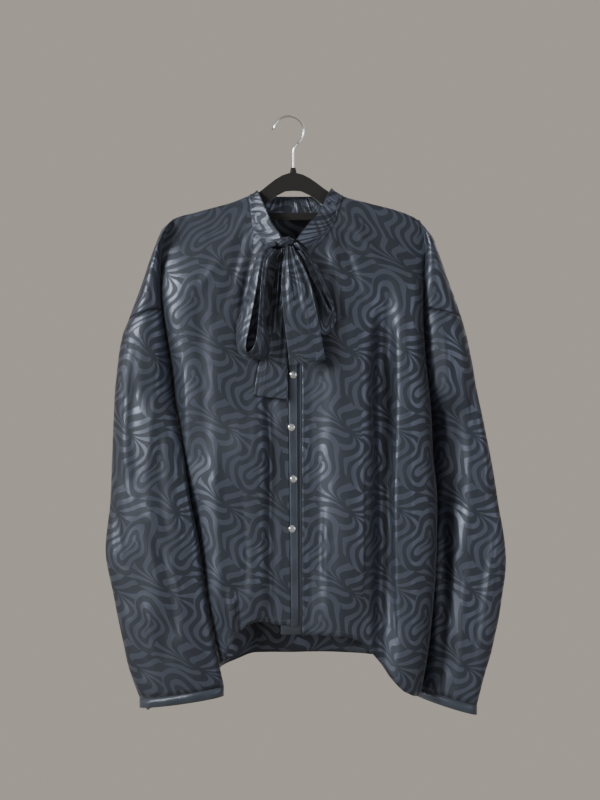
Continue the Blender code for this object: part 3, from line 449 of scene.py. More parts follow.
def sleeveGrid(side, levels):
    rows = (sleeveRightRows, sleeveLeftRows)[side]
    folds = (sleeveRightFolds, sleeveLeftFolds)[side]
    section = curveThrough(rows)
    turn = np.radians(np.array(sleeveAngles))
    w = (1 - np.cos(turn)) / 2
    grid = []
    for level in levels:
        inner, outer, outerDown, half, innerY, outerY = (float(v) for v in section(level))
        if level <= underarm:
            inner = float(bodySides(level)[side]) + (-1, 1)[side] * seamGap
        first = 1 - smoothStep((level - rows[0].down) / 0.09)
        x = inner + (outer - inner) * w
        down = level + (outerDown - level) * w - armholeRise * np.sin(turn) * first
        middle = innerY + (outerY - innerY) * w
        edge = seamGap / 2 if level < underarm else 0
        valley = (float(valleyDepth(level)[0]) + edge) * (1 + np.cos(turn)) / 2
        lift = foldLift(folds, x, down) * np.sin(turn)
        front = middle - valley - half * np.sin(turn) - lift
        back = middle + valley + half * np.sin(turn) + foldLift(folds, x + 0.02, down) * np.sin(turn)
        frontRow = np.stack([x, front, -down], axis=-1)
        backRow = np.stack([x, back, -down], axis=-1)
        grid.append(np.concatenate([frontRow, backRow[-2::-1]]))
    grid = np.array(grid)
    return grid[:, ::-1] if side == 0 else grid


def cuffGrid(side):
    ring = sleeveGrid(side, [(sleeveRightRows, sleeveLeftRows)[side][-1].down])[0]
    steps = (seamGap, cuffHeight / 2, cuffHeight)
    return np.array([ring - np.array([0, 0, step]) for step in steps])


collarLook = {
    "columns": 420,
    "shares": (0.0, 0.06, 0.13, 0.22, 0.35, 0.5, 0.65, 0.8, 0.92, 1.0),
    "pleats": 46.0,
    "lift": 0.0016,
    "finer": 2.6,  # the small pleats among the wide ones
    "bulge": 0.0012,
    "roll": 0.0026,  # rolled foot on the left front
    "rollAt": 0.13,
    "rollWide": 0.10,
    "rollStart": 0.12,
    "pleatFade": 0.10,  # the pleats fade in over this much from each shoulder seam
    "fineShare": 0.5,
    "topLoss": 0.55,  # share of the pleats lost at the top edge
}


def collarGrid():
    look = collarLook
    around = np.linspace(collarRows[0].around, collarRows[-1].around, look["columns"] + 1)
    seam = np.array([neckPoint(a) for a in around])
    x, y, down = curveThrough(collarRows)(around)
    top = np.stack([x, y, -down], axis=-1)
    run = top - seam
    length = np.linalg.norm(run, axis=1)[:, None]
    seam = seam + run / length * seamGap
    run = top - seam
    grid = []
    along = np.gradient(seam, axis=0)
    normal = np.cross(along, run)
    normal /= np.linalg.norm(normal, axis=1)[:, None]
    fromSeams = np.abs(around), np.abs(around - 2 * neckShare)
    fade = smoothStep(fromSeams[0] / look["pleatFade"]) * smoothStep(fromSeams[1] / look["pleatFade"])
    roll = smoothStep((around - 2 * neckShare - look["rollStart"]) / 0.06) * look["roll"]
    for share in look["shares"]:
        wide = np.array([noise.noise((a * look["pleats"] + share, 2.0, share)) for a in around])
        places = [(a * look["finer"] * look["pleats"], 7.0, share * 0.5) for a in around]
        fine = np.array([noise.noise(place) for place in places])
        height = look["lift"] * (1 - look["topLoss"] * share)
        lift = (wide + look["fineShare"] * fine) * height * fade * (0 < share)
        foot = roll * math.exp(-(((share - look["rollAt"]) / look["rollWide"]) ** 2)) * (0 < share)
        bulge = look["bulge"] * math.sin(math.pi * share) + foot
        grid.append(seam + run * share + normal * (lift + bulge)[:, None])
    return np.array(grid)[::-1]


def neckPoint(around):
    if around <= 0:
        rows, columns, side, face, u = neckFrontRight, rightColumns, 0, 0, neckShare + around
    elif around <= neckShare:
        rows, columns, side, face, u = neckBackRight, backColumnsRight, 0, 1, neckShare - around
    elif around <= 2 * neckShare:
        rows, columns, side, face, u = neckBackLeft, backColumnsLeft, 1, 1, around - neckShare
    else:
        rows, columns, side, face, u = neckFrontLeft, leftColumns, 1, 0, 3 * neckShare - around
    stations = np.array([c for c in columns if c <= neckShare])
    x, down = topEdge(rows, stations, side)
    points = bodyPoint(stations, x, down, side, face)
    if abs(around) < 1e-6 or abs(around - 2 * neckShare) < 1e-6:
        points[:, 1] = 0
    return np.array([np.interp(u, stations, points[:, axis]) for axis in range(3)])


bowLook = {
    "loopBow": 0.003,
    "loopCuts": (110, 24),
    "loopPleat": 0.0016,
    "loopReach": 0.16,  # share of the strip that the knot gathers
    "tailCuts": (80, 60),
    "tailFolds": 2.5,  # folds across a tie end at the knot
    "tailFold": 0.0030,
    "tailBelly": 0.002,
    "tailPleat": 0.0022,
    "tailReach": 0.35,
}


def stripGrid(edgeA, edgeB, across, bow):
    run = edgeB - edgeA
    along = np.gradient(edgeA + edgeB, axis=0)
    normal = np.cross(along, run)
    normal /= np.linalg.norm(normal, axis=1)[:, None]
    shares = np.linspace(0, 1, across + 1)
    return np.array([edgeA + run * s + normal * bow * math.sin(math.pi * s) for s in shares])


def loopGrid(rows, stations, across):
    along = np.linspace(0, 1, stations + 1)
    backX, backY, backDown, frontX, frontY, frontDown = curveThrough(rows)(along)
    back = np.stack([backX, backY, -backDown], axis=-1)
    front = np.stack([frontX, frontY, -frontDown], axis=-1)
    return stripGrid(back, front, across, bowLook["loopBow"])


def tailGrid(rows, stations, across):
    along = np.linspace(0, 1, stations + 1)
    rightX, rightDown, leftX, leftDown, y = curveThrough(rows)(along)
    right = np.stack([rightX, y, -rightDown], axis=-1)
    left = np.stack([leftX, y, -leftDown], axis=-1)
    depth = bowLook["tailFold"] * smoothStep(along / 0.3) * (1 - smoothStep(along / 0.8))
    grid = []
    for s in np.linspace(0, 1, across + 1):
        pleat = np.sin(s * bowLook["tailFolds"] * 2 * math.pi) * depth
        row = right + (left - right) * s
        row[:, 1] += pleat - bowLook["tailBelly"] * np.sin(math.pi * s) * along
        grid.append(row)
    return np.array(grid)


bandLook = {"columns": 11, "bulge": 0.0013}


def bandGrid(seamX, edgeX, topDown, bottomDown, layer, edgeFirst):
    lower = np.linspace(underarm, bottomDown, 13)[1:]
    levels = np.concatenate([np.linspace(topDown, underarm, 6), lower])
    grid = []
    for down in levels:
        share = np.linspace(0, 1, bandLook["columns"])
        xs = seamX(down) + (edgeX(down) - seamX(down)) * share
        level = np.full(share.shape, down)
        depth = hangingDepth(xs, level, 0) + foldLift(frontFolds, xs, level)
        depth = depth + (0 if layer else bandLook["bulge"]) * (1 - (2 * share - 1) ** 4)
        grid.append(np.stack([xs, -(seamGap / 2 + depth) + layer, -level], axis=-1))
    grid = np.array(grid)
    return grid[:, ::-1] if edgeFirst else grid


def toLinear(hexColour):
    parts = [int(hexColour[i : i + 2], 16) / 255 for i in (1, 3, 5)]
    return tuple(p / 12.92 if p <= 0.04045 else ((p + 0.055) / 1.055) ** 2.4 for p in parts) + (1.0,)


def addNode(tree, kind, settings=None, values=None):
    node = tree.nodes.new(kind)
    for key, value in (settings or {}).items():
        setattr(node, key, value)
    for key, value in (values or {}).items():
        if isinstance(value, bpy.types.NodeSocket):
            tree.links.new(value, node.inputs[key])
        else:
            node.inputs[key].default_value = value
    return node


# Sums in a material: each step has its result's name, what is done, and names or numbers
def workOut(tree, found, steps):
    for name, operation, *inputs in steps:
        inputs = [found[value] if isinstance(value, str) else value for value in inputs]
        if operation == "SMOOTHSTEP":
            values = dict(zip(("Value", "From Min", "From Max"), inputs))
            node = addNode(tree, "ShaderNodeMapRange", {"interpolation_type": operation}, values)
        else:
            node = addNode(tree, "ShaderNodeMath", {"operation": operation}, dict(enumerate(inputs)))
        found[name] = node.outputs[0]
    return found


# Base colour: two near shades mixed by a texture
def mixShades(tree, shader, look, texture, output="Fac"):
    ends = {"Factor": texture.outputs[output]}
    ends.update({6: toLinear(look["shade"]), 7: toLinear(look["colour"])})
    colour = addNode(tree, "ShaderNodeMix", {"data_type": "RGBA"}, ends)
    tree.links.new(colour.outputs[2], shader.inputs["Base Color"])


def newMaterial(name):
    material = bpy.data.materials.new(name)
    material.use_nodes = True
    return material, material.node_tree, material.node_tree.nodes["Principled BSDF"]


jacquardLook = {
    "ground": "#2c3340",
    "figure": "#4c5465",
    "groundRoughness": 0.55,
    "figureRoughness": 0.33,
    "repeatAcross": 0.100,
    "repeatDown": 0.117,
    "motif": 0.045,  # reach of a fan or an eye
    "blades": 11.0,
    "curl": 5.5,
    "rings": 2.6,
    "crumple": 0.0010,
}


# Generic fans and eyes on a staggered repeat, warped into each other. 1 on the figure
def figureMask(tree, across, down):
    look = jacquardLook
    turn = 2 * math.pi
    found = {"across": across, "down": down}
    steps = [
        ("a", "DIVIDE", "across", look["repeatAcross"]),
        ("b", "DIVIDE", "down", look["repeatDown"]),
        ("bTurn", "MULTIPLY", "b", turn),
        ("aTurn", "MULTIPLY_ADD", "a", turn, 0.6),
        ("bWave", "SINE", "bTurn"),
        ("aWave", "SINE", "aTurn"),
        ("slant", "MULTIPLY_ADD", "b", 2.0, "a"),
        ("slantTurn", "MULTIPLY_ADD", "slant", turn, 1.0),
        ("slantWave", "SINE", "slantTurn"),
        ("swayA", "MULTIPLY", "bWave", 0.11),
        ("swayA", "MULTIPLY_ADD", "slantWave", 0.05, "swayA"),
        ("swayB", "MULTIPLY", "aWave", 0.09),
        ("a", "ADD", "a", "swayA"),
        ("b", "ADD", "b", "swayB"),
    ]
    for motif, shift in (("fan", 0.0), ("eye", 0.5)):
        steps += [
            ("x", "ADD", "a", shift),
            ("x", "WRAP", "x", 0.5, -0.5),
            ("x", "MULTIPLY", "x", look["repeatAcross"]),
            ("y", "ADD", "b", shift),
            ("y", "WRAP", "y", 0.5, -0.5),
            ("y", "MULTIPLY", "y", look["repeatDown"]),
            ("square", "MULTIPLY", "y", "y"),
            ("square", "MULTIPLY_ADD", "x", "x", "square"),
            ("root", "SQRT", "square"),
            (motif + "Reach", "DIVIDE", "root", look["motif"]),
            (motif + "Turn", "ARCTAN2", "y", "x"),
        ]
    steps += [
        ("wave", "MULTIPLY_ADD", "fanTurn", 2.0, 0.5),
        ("wave", "SINE", "wave"),
        ("wave", "MULTIPLY", "wave", 0.9),
        ("blade", "MULTIPLY_ADD", "fanTurn", look["blades"], "wave"),
        ("blade", "MULTIPLY_ADD", "fanReach", look["curl"], "blade"),
        ("blade", "COSINE", "blade"),
        ("off", "SUBTRACT", "fanReach", 0.55),
        ("off", "MULTIPLY", "off", "off"),
        ("off", "MULTIPLY", "off", 1.1),
        ("blade", "SUBTRACT", "blade", "off"),
        ("blade", "SMOOTHSTEP", "blade", 0.05, 0.25),
        ("heart", "SMOOTHSTEP", "fanReach", 0.10, 0.22),
        ("fan", "MULTIPLY", "blade", "heart"),
        ("lean", "MULTIPLY_ADD", "eyeTurn", 2.0, 1.1),
        ("lean", "SINE", "lean"),
        ("ring", "MULTIPLY", "eyeReach", look["rings"]),
        ("ring", "MULTIPLY_ADD", "lean", 0.34, "ring"),
        ("side", "SINE", "eyeTurn"),
        ("side", "MULTIPLY", "side", 1.6),
        ("ring", "MULTIPLY_ADD", "ring", turn, "side"),
        ("ring", "SINE", "ring"),
        ("swell", "MULTIPLY", "eyeReach", 2.2),
        ("swell", "MULTIPLY_ADD", "eyeTurn", 3.0, "swell"),
        ("swell", "SINE", "swell"),
        ("ring", "MULTIPLY_ADD", "swell", -0.25, "ring"),
        ("eye", "SMOOTHSTEP", "ring", -0.02, 0.22),
        ("nearer", "SUBTRACT", "fanReach", "eyeReach"),
        ("nearer", "SMOOTHSTEP", "nearer", -0.05, 0.05),
    ]
    workOut(tree, found, steps)
    mixed = {"Factor": found["nearer"], "A": found["fan"], "B": found["eye"]}
    return addNode(tree, "ShaderNodeMix", {"data_type": "FLOAT"}, mixed).outputs["Result"]


bumpLook = {"crumples": 34.0, "weave": 600.0, "weaveHeight": 0.00012}


# Fine weave and the small crumples that the mesh leaves out, as one bump. The weave is drawn
# about 1 mm wide, coarser than its thread, so that it shows
def clothBump(tree, shader, place, crumple):
    values = {"Vector": place, "Scale": bumpLook["crumples"], "Detail": 2.0, "Roughness": 0.45}
    cloud = addNode(tree, "ShaderNodeTexNoise", {"noise_dimensions": "3D"}, values)
    values = {"Vector": place, "Scale": bumpLook["weave"], "Distortion": 0.4, "Detail": 0.0}
    bands = {"wave_type": "BANDS", "bands_direction": "DIAGONAL"}
    weave = addNode(tree, "ShaderNodeTexWave", bands, values)
    values = {"Height": cloud.outputs["Fac"], "Strength": 1.0, "Distance": crumple}
    soft = addNode(tree, "ShaderNodeBump", {}, values).outputs["Normal"]
    values = {"Height": weave.outputs["Fac"], "Strength": 0.35, "Normal": soft}
    values["Distance"] = bumpLook["weaveHeight"]
    fine = addNode(tree, "ShaderNodeBump", {}, values)
    tree.links.new(fine.outputs["Normal"], shader.inputs["Normal"])


# Satin with a woven figure: the figure lies smoother and lighter than the ground
def makeJacquard():
    look = jacquardLook
    material, tree, shader = newMaterial("slate_satin_jacquard")
    uv = addNode(tree, "ShaderNodeUVMap", {"uv_map": "flatCut"}).outputs["UV"]
    parts = addNode(tree, "ShaderNodeSeparateXYZ", {}, {"Vector": uv}).outputs
    mask = figureMask(tree, parts["X"], parts["Y"])
    cloud = addNode(tree, "ShaderNodeTexNoise", {}, {"Vector": uv, "Scale": 9.0, "Detail": 2.0})
    span = look["figureRoughness"] - look["groundRoughness"]
    steps = [
        ("shade", "MULTIPLY_ADD", cloud.outputs["Fac"], 0.24, -0.12),
        ("share", "MULTIPLY", mask, 0.88),
        ("factor", "ADD", "share", "shade"),
        ("gloss", "MULTIPLY_ADD", mask, span, look["groundRoughness"]),
    ]
    found = workOut(tree, {}, steps)
    ends = {"Factor": found["factor"], 6: toLinear(look["ground"]), 7: toLinear(look["figure"])}
    colour = addNode(tree, "ShaderNodeMix", {"data_type": "RGBA", "clamp_factor": True}, ends)
    tree.links.new(colour.outputs[2], shader.inputs["Base Color"])
    tree.links.new(found["gloss"], shader.inputs["Roughness"])
    shader.inputs["Sheen Weight"].default_value = 0.18
    shader.inputs["Sheen Roughness"].default_value = 0.35
    shader.inputs["Specular IOR Level"].default_value = 0.62
    shader.inputs["Metallic"].default_value = 0.45
    clothBump(tree, shader, uv, look["crumple"])
    return material


satinLook = {"shade": "#222a37", "colour": "#4d5767", "roughness": 0.30, "crumple": 0.0012}


# Plain satin bands: the smoothest cloth, with long soft lights
def makeSatin():
    material, tree, shader = newMaterial("plain_slate_satin")
    uv = addNode(tree, "ShaderNodeUVMap", {"uv_map": "flatCut"}).outputs["UV"]
    cloud = addNode(tree, "ShaderNodeTexNoise", {}, {"Vector": uv, "Scale": 30.0, "Detail": 2.0})
    mixShades(tree, shader, satinLook, cloud)
    shader.inputs["Roughness"].default_value = satinLook["roughness"]
    shader.inputs["Metallic"].default_value = 0.25
    shader.inputs["Sheen Weight"].default_value = 0.15
    clothBump(tree, shader, uv, satinLook["crumple"])
    return material


flockLook = {"colour": "#0b0b0c", "roughness": 0.95}


# Short black pile: almost no gloss, a faint pale rim
def makeFlock():
    material, tree, shader = newMaterial("black_flocking")
    place = addNode(tree, "ShaderNodeTexCoord").outputs["Object"]
    pile = addNode(tree, "ShaderNodeTexNoise", {}, {"Vector": place, "Scale": 1400.0, "Detail": 2.0})
    shader.inputs["Base Color"].default_value = toLinear(flockLook["colour"])
    shader.inputs["Roughness"].default_value = flockLook["roughness"]
    shader.inputs["Sheen Weight"].default_value = 0.25
    shader.inputs["Sheen Roughness"].default_value = 0.6
    bump = addNode(tree, "ShaderNodeBump", {}, {"Height": pile.outputs["Fac"], "Distance": 0.0004})
    tree.links.new(bump.outputs["Normal"], shader.inputs["Normal"])
    return material


chromeLook = {"colour": "#c9cbcd", "roughness": 0.16, "streaks": 0.12}


# Bright plated wire with the faint streaks of drawn steel
def makeChrome():
    material, tree, shader = newMaterial("plated_wire")
    place = addNode(tree, "ShaderNodeTexCoord").outputs["Object"]
    streak = addNode(tree, "ShaderNodeTexNoise", {}, {"Vector": place, "Scale": 220.0, "Detail": 2.0})
    base = chromeLook["roughness"] - 0.05
    step = ("gloss", "MULTIPLY_ADD", streak.outputs["Fac"], chromeLook["streaks"], base)
    tree.links.new(workOut(tree, {}, [step])["gloss"], shader.inputs["Roughness"])
    shader.inputs["Base Color"].default_value = toLinear(chromeLook["colour"])
    shader.inputs["Metallic"].default_value = 1.0
    return material


crystalLook = {"shade": "#8f98a1", "colour": "#dfe3e8", "roughness": 0.06}


# Foiled crystal: cells of lighter and darker base colour are painted glints of the facets, over the
# foil's own grey
def makeCrystal():
    material, tree, shader = newMaterial("foiled_crystal")
    place = addNode(tree, "ShaderNodeTexCoord").outputs["Object"]
    # Painted glints: the base colour turns lighter and darker cell by cell, as if facets caught the
    # light
    paintedGlintCells = addNode(tree, "ShaderNodeTexVoronoi", {}, {"Vector": place, "Scale": 420.0})
    mixShades(tree, shader, crystalLook, paintedGlintCells, "Distance")
    shader.inputs["Roughness"].default_value = crystalLook["roughness"]
    shader.inputs["Metallic"].default_value = 0.75
    shader.inputs["Coat Weight"].default_value = 0.6
    return material


jacquard = makeJacquard()
satin = makeSatin()
flock = makeFlock()
chrome = makeChrome()
crystal = makeCrystal()
print("materials made")


# Flat cut coordinates: lengths along the rows from one column, and down the columns
def flatCut(grid, origin, startAcross):
    across = np.nan_to_num(np.linalg.norm(np.diff(grid, axis=1), axis=2))
    u = np.concatenate([np.zeros((len(grid), 1)), np.cumsum(across, axis=1)], axis=1)
    u = u - u[:, [origin]]
    down = np.nan_to_num(np.linalg.norm(np.diff(grid, axis=0), axis=2))
    v = np.concatenate([np.zeros((1, grid.shape[1])), np.cumsum(down, axis=0)])
    top = -np.nan_to_num(grid[0, :, 2])
    return np.stack([u + startAcross, -(v + top)], axis=-1)


def gridNormals(grid, closed=False):
    right = np.gradient(grid, axis=1)
    if closed:
        right[:, 0] = right[:, -1] = (grid[:, 1] - grid[:, -2]) / 2
    down = np.gradient(grid, axis=0)
    normal = np.nan_to_num(np.cross(down, right))
    return normal / np.maximum(np.linalg.norm(normal, axis=2), 1e-9)[..., None]


rippleLook = {
    "height": 0.0011,
    "sleeveHeight": 0.0014,
    "wide": (34.0, 20, 7.0),  # per metre, across, in depth and down
    "fine": (90, 50, 26),
    "fineShare": 0.35,
    "seeds": {"front_right": 3.1, "front_left": 9.4, "back": 17.2, "sleeves": 23.0},
}


# Cloth hung from above ripples along its length: noise drawn out downwards, moved along the normal
def ripple(grid, seed, height, closed=False):
    moved = grid.copy()
    normal = gridNormals(grid, closed)
    for index in np.ndindex(grid.shape[:2]):
        x, y, z = grid[index]
        if math.isnan(x) or math.isnan(normal[index][0]):
            continue
        wide, fine = rippleLook["wide"], rippleLook["fine"]
        broad = noise.noise((x * wide[0] + seed, y * wide[1], z * wide[2]))
        small = noise.noise((x * fine[0] + seed, y * fine[1], z * fine[2] + seed))
        moved[index] += normal[index] * height * (broad + rippleLook["fineShare"] * small)
    return moved


creaseLook = {"fadeIn": 0.25, "fadeOut": 0.3, "uneven": 0.35, "facing": 0.6}

# Creases, given one by one: each a trough or ridge between two places, bowed sideways, uneven along
# its length
creaseColumns = "topX top endX end width lift bow"
frontCreases = table(
    creaseColumns,
    (-64, 405, -52, 800, 30, 9.5, 4), (90, 250, 94, 830, 28, 8.5, 3),
    (138, 240, 135, 840, 14, -10, 3), (30, 400, 29, 790, 9, -3, 1),
    (-52, 235, -42, 760, 13, 4.2, 4), (-64, 160, -115, 330, 6, -2, 6),
    (-60, 140, -140, 270, 6.5, 1.8, 5), (-48, 178, -76, 360, 5, -2.2, -4),
    (-40, 190, -56, 330, 4.5, 1.8, 2), (-156, 180, -148, 520, 8, 2.8, 6),
    (-142, 380, -124, 760, 7, -3, -5), (-112, 480, -100, 790, 9, 2.6, 4),
    (-70, 540, -64, 770, 6, -2.6, 3), (-86, 700, -80, 800, 4, 3, 1),
    (-94, 690, -90, 800, 3.5, -2.6, 0), (74, 150, 130, 320, 6, -2.4, -6),
    (66, 178, 102, 360, 5, 2, -4), (56, 192, 74, 350, 4.5, -1.8, -3),
    (80, 130, 156, 250, 7, 1.8, -4), (106, 260, 108, 800, 14, 4.6, 4),
    (42, 420, 44, 760, 8, -2.4, 3), (56, 560, 60, 770, 6, 2, -3), (126, 330, 122, 700, 5, -2.6, 3),
    (164, 240, 160, 840, 6, 3, -3), (190, 330, 188, 830, 6, -2.8, 4),
    (150, 560, 156, 830, 5, -2.4, 2),
)
backCreases = table(
    creaseColumns,
    (-150, 200, -130, 620, 8, 3, 6), (-100, 260, -90, 790, 10, -3.6, -5),
    (-30, 170, -45, 480, 6.5, 2.6, 4), (25, 165, 35, 560, 7, -2.6, -4),
    (46, 170, 85, 430, 6, 2.2, -3), (110, 240, 102, 800, 11, 3.8, 5),
    (165, 260, 160, 830, 7, -3, -4), (-25, 480, -20, 790, 8, 3, 3), (70, 520, 66, 790, 6, -2.4, 4),
)
sleeveCreases = table(
    creaseColumns,
    (-211, 590, -162, 790, 6.5, -5, 8), (-202, 580, -150, 770, 6, 3.6, 8),
    (-242, 430, -213, 640, 8, 3, -8), (-200, 320, -208, 560, 6.5, 3, 6),
    (-230, 310, -238, 500, 5.5, 2.6, -4), (-256, 560, -233, 760, 7, -3, -6),
    (-168, 460, -150, 680, 6, -2.6, 4), (-215, 700, -195, 845, 5.5, 2.8, 3),
    (-170, 740, -150, 845, 4.5, -2.4, -3), (230, 310, 238, 520, 6, 3, 5),
    (260, 330, 276, 560, 7, -3.4, 6), (290, 480, 282, 700, 7, 3, 6),
    (242, 520, 236, 760, 6, -3.4, -6), (308, 590, 280, 830, 6, 3, 4),
    (266, 640, 248, 850, 5.5, -3, -5), (224, 600, 216, 850, 5, 2.6, 3),
)


def crease(grid, rows, facing=0, closed=False):
    normal = gridNormals(grid, closed)
    x, down = grid[..., 0], -grid[..., 2]
    lift = np.zeros(x.shape)
    for number, row in enumerate(rows):
        t = (down - row.top) / (row.end - row.top)
        middleX = row.topX + (row.endX - row.topX) * t + row.bow * np.sin(math.pi * np.clip(t, 0, 1))
        fade = smoothStep(t / creaseLook["fadeIn"]) * smoothStep((1 - t) / creaseLook["fadeOut"])
        uneven = 1 + creaseLook["uneven"] * np.sin(9 * t + 2.3 * number)
        lift += row.lift * fade * uneven * np.exp(-(((x - middleX) / row.width) ** 2))
    if facing:
        lift = lift * smoothStep(normal[..., 1] * facing / creaseLook["facing"])
    return grid + normal * lift[..., None]


seamLook = {
    "outside": 0.004,
    "armhole": 0.298,
    "armholeFade": 0.045,
    "cuffRows": 8,
    "topRows": 10,
    "sideFrom": 0.30,
    "sideFade": 0.014,
    "bandRight": -0.0020,  # where the bands are sewn on, across
    "bandLeft": 0.0205,
    "bandFade": 0.012,
}


# Keeps the seams shut: what was moved settles back to the sewn line near each seam
def settle(base, moved, kind):
    look = seamLook
    x, down = base[..., 0], -base[..., 2]
    right, left = bodySides(down)
    outside = (x < right + look["outside"]) | (x > left - look["outside"])
    keep = np.where(outside, smoothStep(np.abs(down - look["armhole"]) / look["armholeFade"]), 1.0)
    rows = np.arange(base.shape[0])[:, None]
    if kind == "sleeve":
        keep = keep * smoothStep((base.shape[0] - 1) / look["cuffRows"] - rows / look["cuffRows"])
    else:
        keep = keep * smoothStep(rows / look["topRows"])
        sides = np.minimum(np.abs(x - right), np.abs(x - left))
        keep = np.where(down > look["sideFrom"], keep * smoothStep(sides / look["sideFade"]), keep)
    if kind == "front":
        beside = np.maximum(x - look["bandLeft"], look["bandRight"] - x)
        keep = keep * smoothStep(beside / look["bandFade"])
    return base + (moved - base) * keep[..., None]


def meshPiece(build, name, material):
    mesh = bpy.data.meshes.new(name)
    build.to_mesh(mesh)
    build.free()
    mesh.materials.append(material)
    made = bpy.data.objects.new(name, mesh)
    bpy.context.scene.collection.objects.link(made)
    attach(made, "root")
    return made


# A closed thin wall on a grid whose columns run to the right as seen from outside
def clothPiece(name, grid, wall, material, origin=0, startAcross=0.0, weld=False):
    flat = flatCut(grid, origin, startAcross)
    build = bmesh.new()
    layer = build.loops.layers.uv.new("flatCut")
    verts = {}
    for index in np.ndindex(grid.shape[:2]):
        if not math.isnan(grid[index][0]):
            verts[index] = build.verts.new(grid[index])
    for row, column in np.ndindex(grid.shape[0] - 1, grid.shape[1] - 1):
        corners = [(row, column), (row + 1, column), (row + 1, column + 1), (row, column + 1)]
        if all(corner in verts for corner in corners):
            face = build.faces.new([verts[corner] for corner in corners])
            face.smooth = True
            for loop, corner in zip(face.loops, corners):
                loop[layer].uv = flat[corner]
    if weld:
        bmesh.ops.remove_doubles(build, verts=build.verts, dist=0.00005)
    loose = [v for v in build.verts if not v.link_faces]
    bmesh.ops.delete(build, geom=loose, context="VERTS")
    made = meshPiece(build, name, material)
    thick = made.modifiers.new("wall", "SOLIDIFY")
    thick.thickness = wall
    thick.offset = -1
    return made


# Front panels, bands and back
bandTops = (0.2062, 0.2075)
bandEnds = (0.7570, 0.7700)
seamR, edgeR = (lambda d, c=c: curveThrough(bandRightRows)(d)[c] for c in (0, 1))
seamL, edgeL = (lambda d, c=c: curveThrough(bandLeftRows)(d)[c] for c in (0, 1))
frontRightBody = bodyGrid(neckFrontRight, rightColumns, 0, 0, hemFrontRight, seamR)
frontRight = panelGrid(0, 0, frontRightBody)[:, ::-1]
frontLeft = panelGrid(1, 0, bodyGrid(neckFrontLeft, leftColumns, 1, 0, hemFrontLeft, seamL))
beyondBand = frontLeft[..., 0] - seamLook["bandLeft"]
frontLeft[..., 1] += underLayer * (1 - smoothStep(beyondBand / underBlend))


def middle(down):
    return np.full(np.shape(down), centreX)


backRight = panelGrid(0, 1, bodyGrid(neckBackRight, backColumnsRight, 0, 1, hemBack, middle))
backLeft = panelGrid(1, 1, bodyGrid(neckBackLeft, backColumnsLeft, 1, 1, hemBack, middle))
backPanel = np.concatenate([backLeft[:, ::-1], backRight[:, 1:]], axis=1)
shapes = {}


def finishPanel(grid, rows, name, kind):
    moved = ripple(crease(grid, rows), rippleLook["seeds"][name], rippleLook["height"])
    return settle(grid, moved, kind)


frontRight = finishPanel(frontRight, frontCreases, "front_right", "front")
frontLeft = finishPanel(frontLeft, frontCreases, "front_left", "front")
backPanel = finishPanel(backPanel, backCreases, "back", "back")
shapes["front_right"] = clothPiece("front_right_cloth", frontRight, clothWall, jacquard, -1)
shapes["front_left"] = clothPiece("front_left_cloth", frontLeft, clothWall, jacquard, 0, 0.03)
shapes["back"] = clothPiece("back_cloth", backPanel, clothWall, jacquard, backLeft.shape[1] - 1, 0.01)
print("panels made")

bandRight = bandGrid(lambda d: seamR(d) + seamGap, edgeR, bandTops[0], bandEnds[0], 0.0, False)
shapes["placket_right"] = clothPiece("placket_right_band", bandRight, bandWall, satin)
bandLeft = bandGrid(lambda d: seamL(d) - seamGap, edgeL, bandTops[1], bandEnds[1], underLayer, True)
shapes["placket_left"] = clothPiece("placket_left_band", bandLeft, bandWall, satin)

# The sleeve closes on the body just above the underarm
sleeveTuck = {"shift": 0.0022, "down": 0.385, "reach": 0.045, "across": 0.014}
cuffLap = {"edge": -0.206, "drop": 0.0032}  # tab of the right cuff
for side, name in enumerate(("right", "left")):
    rows = (sleeveRightRows, sleeveLeftRows)[side]
    below = np.linspace(underarm, rows[-1].down, sleeveLevels + 1)[1:]
    levels = [rows[0].down + armholeGap] + list(armholeLevels[1:]) + list(below)
    plainSleeve = sleeveGrid(side, levels)
    sleeve = crease(crease(plainSleeve, sleeveCreases, -1, True), sleeveCreases[::-1], 1, True)
    seed = rippleLook["seeds"]["sleeves"] + side
    sleeve = settle(plainSleeve, ripple(sleeve, seed, rippleLook["sleeveHeight"], True), "sleeve")
    fromBody = np.abs(sleeve[..., 0] - bodySides(-sleeve[..., 2])[side])
    level = (sleeve[..., 2] + sleeveTuck["down"]) / sleeveTuck["reach"]
    tuck = np.exp(-(level**2) - (fromBody / sleeveTuck["across"]) ** 2)
    sleeve[..., 0] += (1, -1)[side] * sleeveTuck["shift"] * tuck
    sleeve[:, -1] = sleeve[:, 0]
    made = clothPiece("sleeve_" + name + "_cloth", sleeve, clothWall, jacquard, 0, 0.02, True)
    shapes["sleeve_" + name] = made
    cuff = cuffGrid(side)
    if side == 0:
        front = cuff[..., 1] < cuff[0, :, 1].mean()
        lap = np.where(front, smoothStep((cuffLap["edge"] - cuff[..., 0]) / 0.0010), 0)
        cuff[..., 2] -= lap * np.array([0, 0.5, 1])[:, None] * cuffLap["drop"]
    shapes["cuff_" + name] = clothPiece("cuff_" + name + "_band", cuff, bandWall, satin, 0, 0.0, True)
print("sleeves made")


# Waves across and along a strip, and the share of the pleats that reaches its far end
pleatLook = {"wide": (5.5, 2.2), "fine": (13, 3), "fineShare": 0.5, "rest": 0.30}


# Long soft pleats where the knot grips a strip. The first axis runs across it, the second along it
def pleated(grid, seed, lift, reach, bothEnds):
    moved = grid.copy()
    normal = gridNormals(grid)
    across, along = (np.linspace(0, 1, count) for count in grid.shape[:2])
    wide, fine = pleatLook["wide"], pleatLook["fine"]
    for j, t in enumerate(along):
        near = math.exp(-t / reach) + (math.exp((t - 1) / reach) if bothEnds else 0)
        for i, s in enumerate(across):
            wave = noise.noise((s * wide[0] + seed, t * wide[1], seed))
            wave += pleatLook["fineShare"] * noise.noise((s * fine[0] + seed, t * fine[1], seed))
            moved[i, j] += normal[i, j] * lift * wave * (pleatLook["rest"] + near)
    return moved


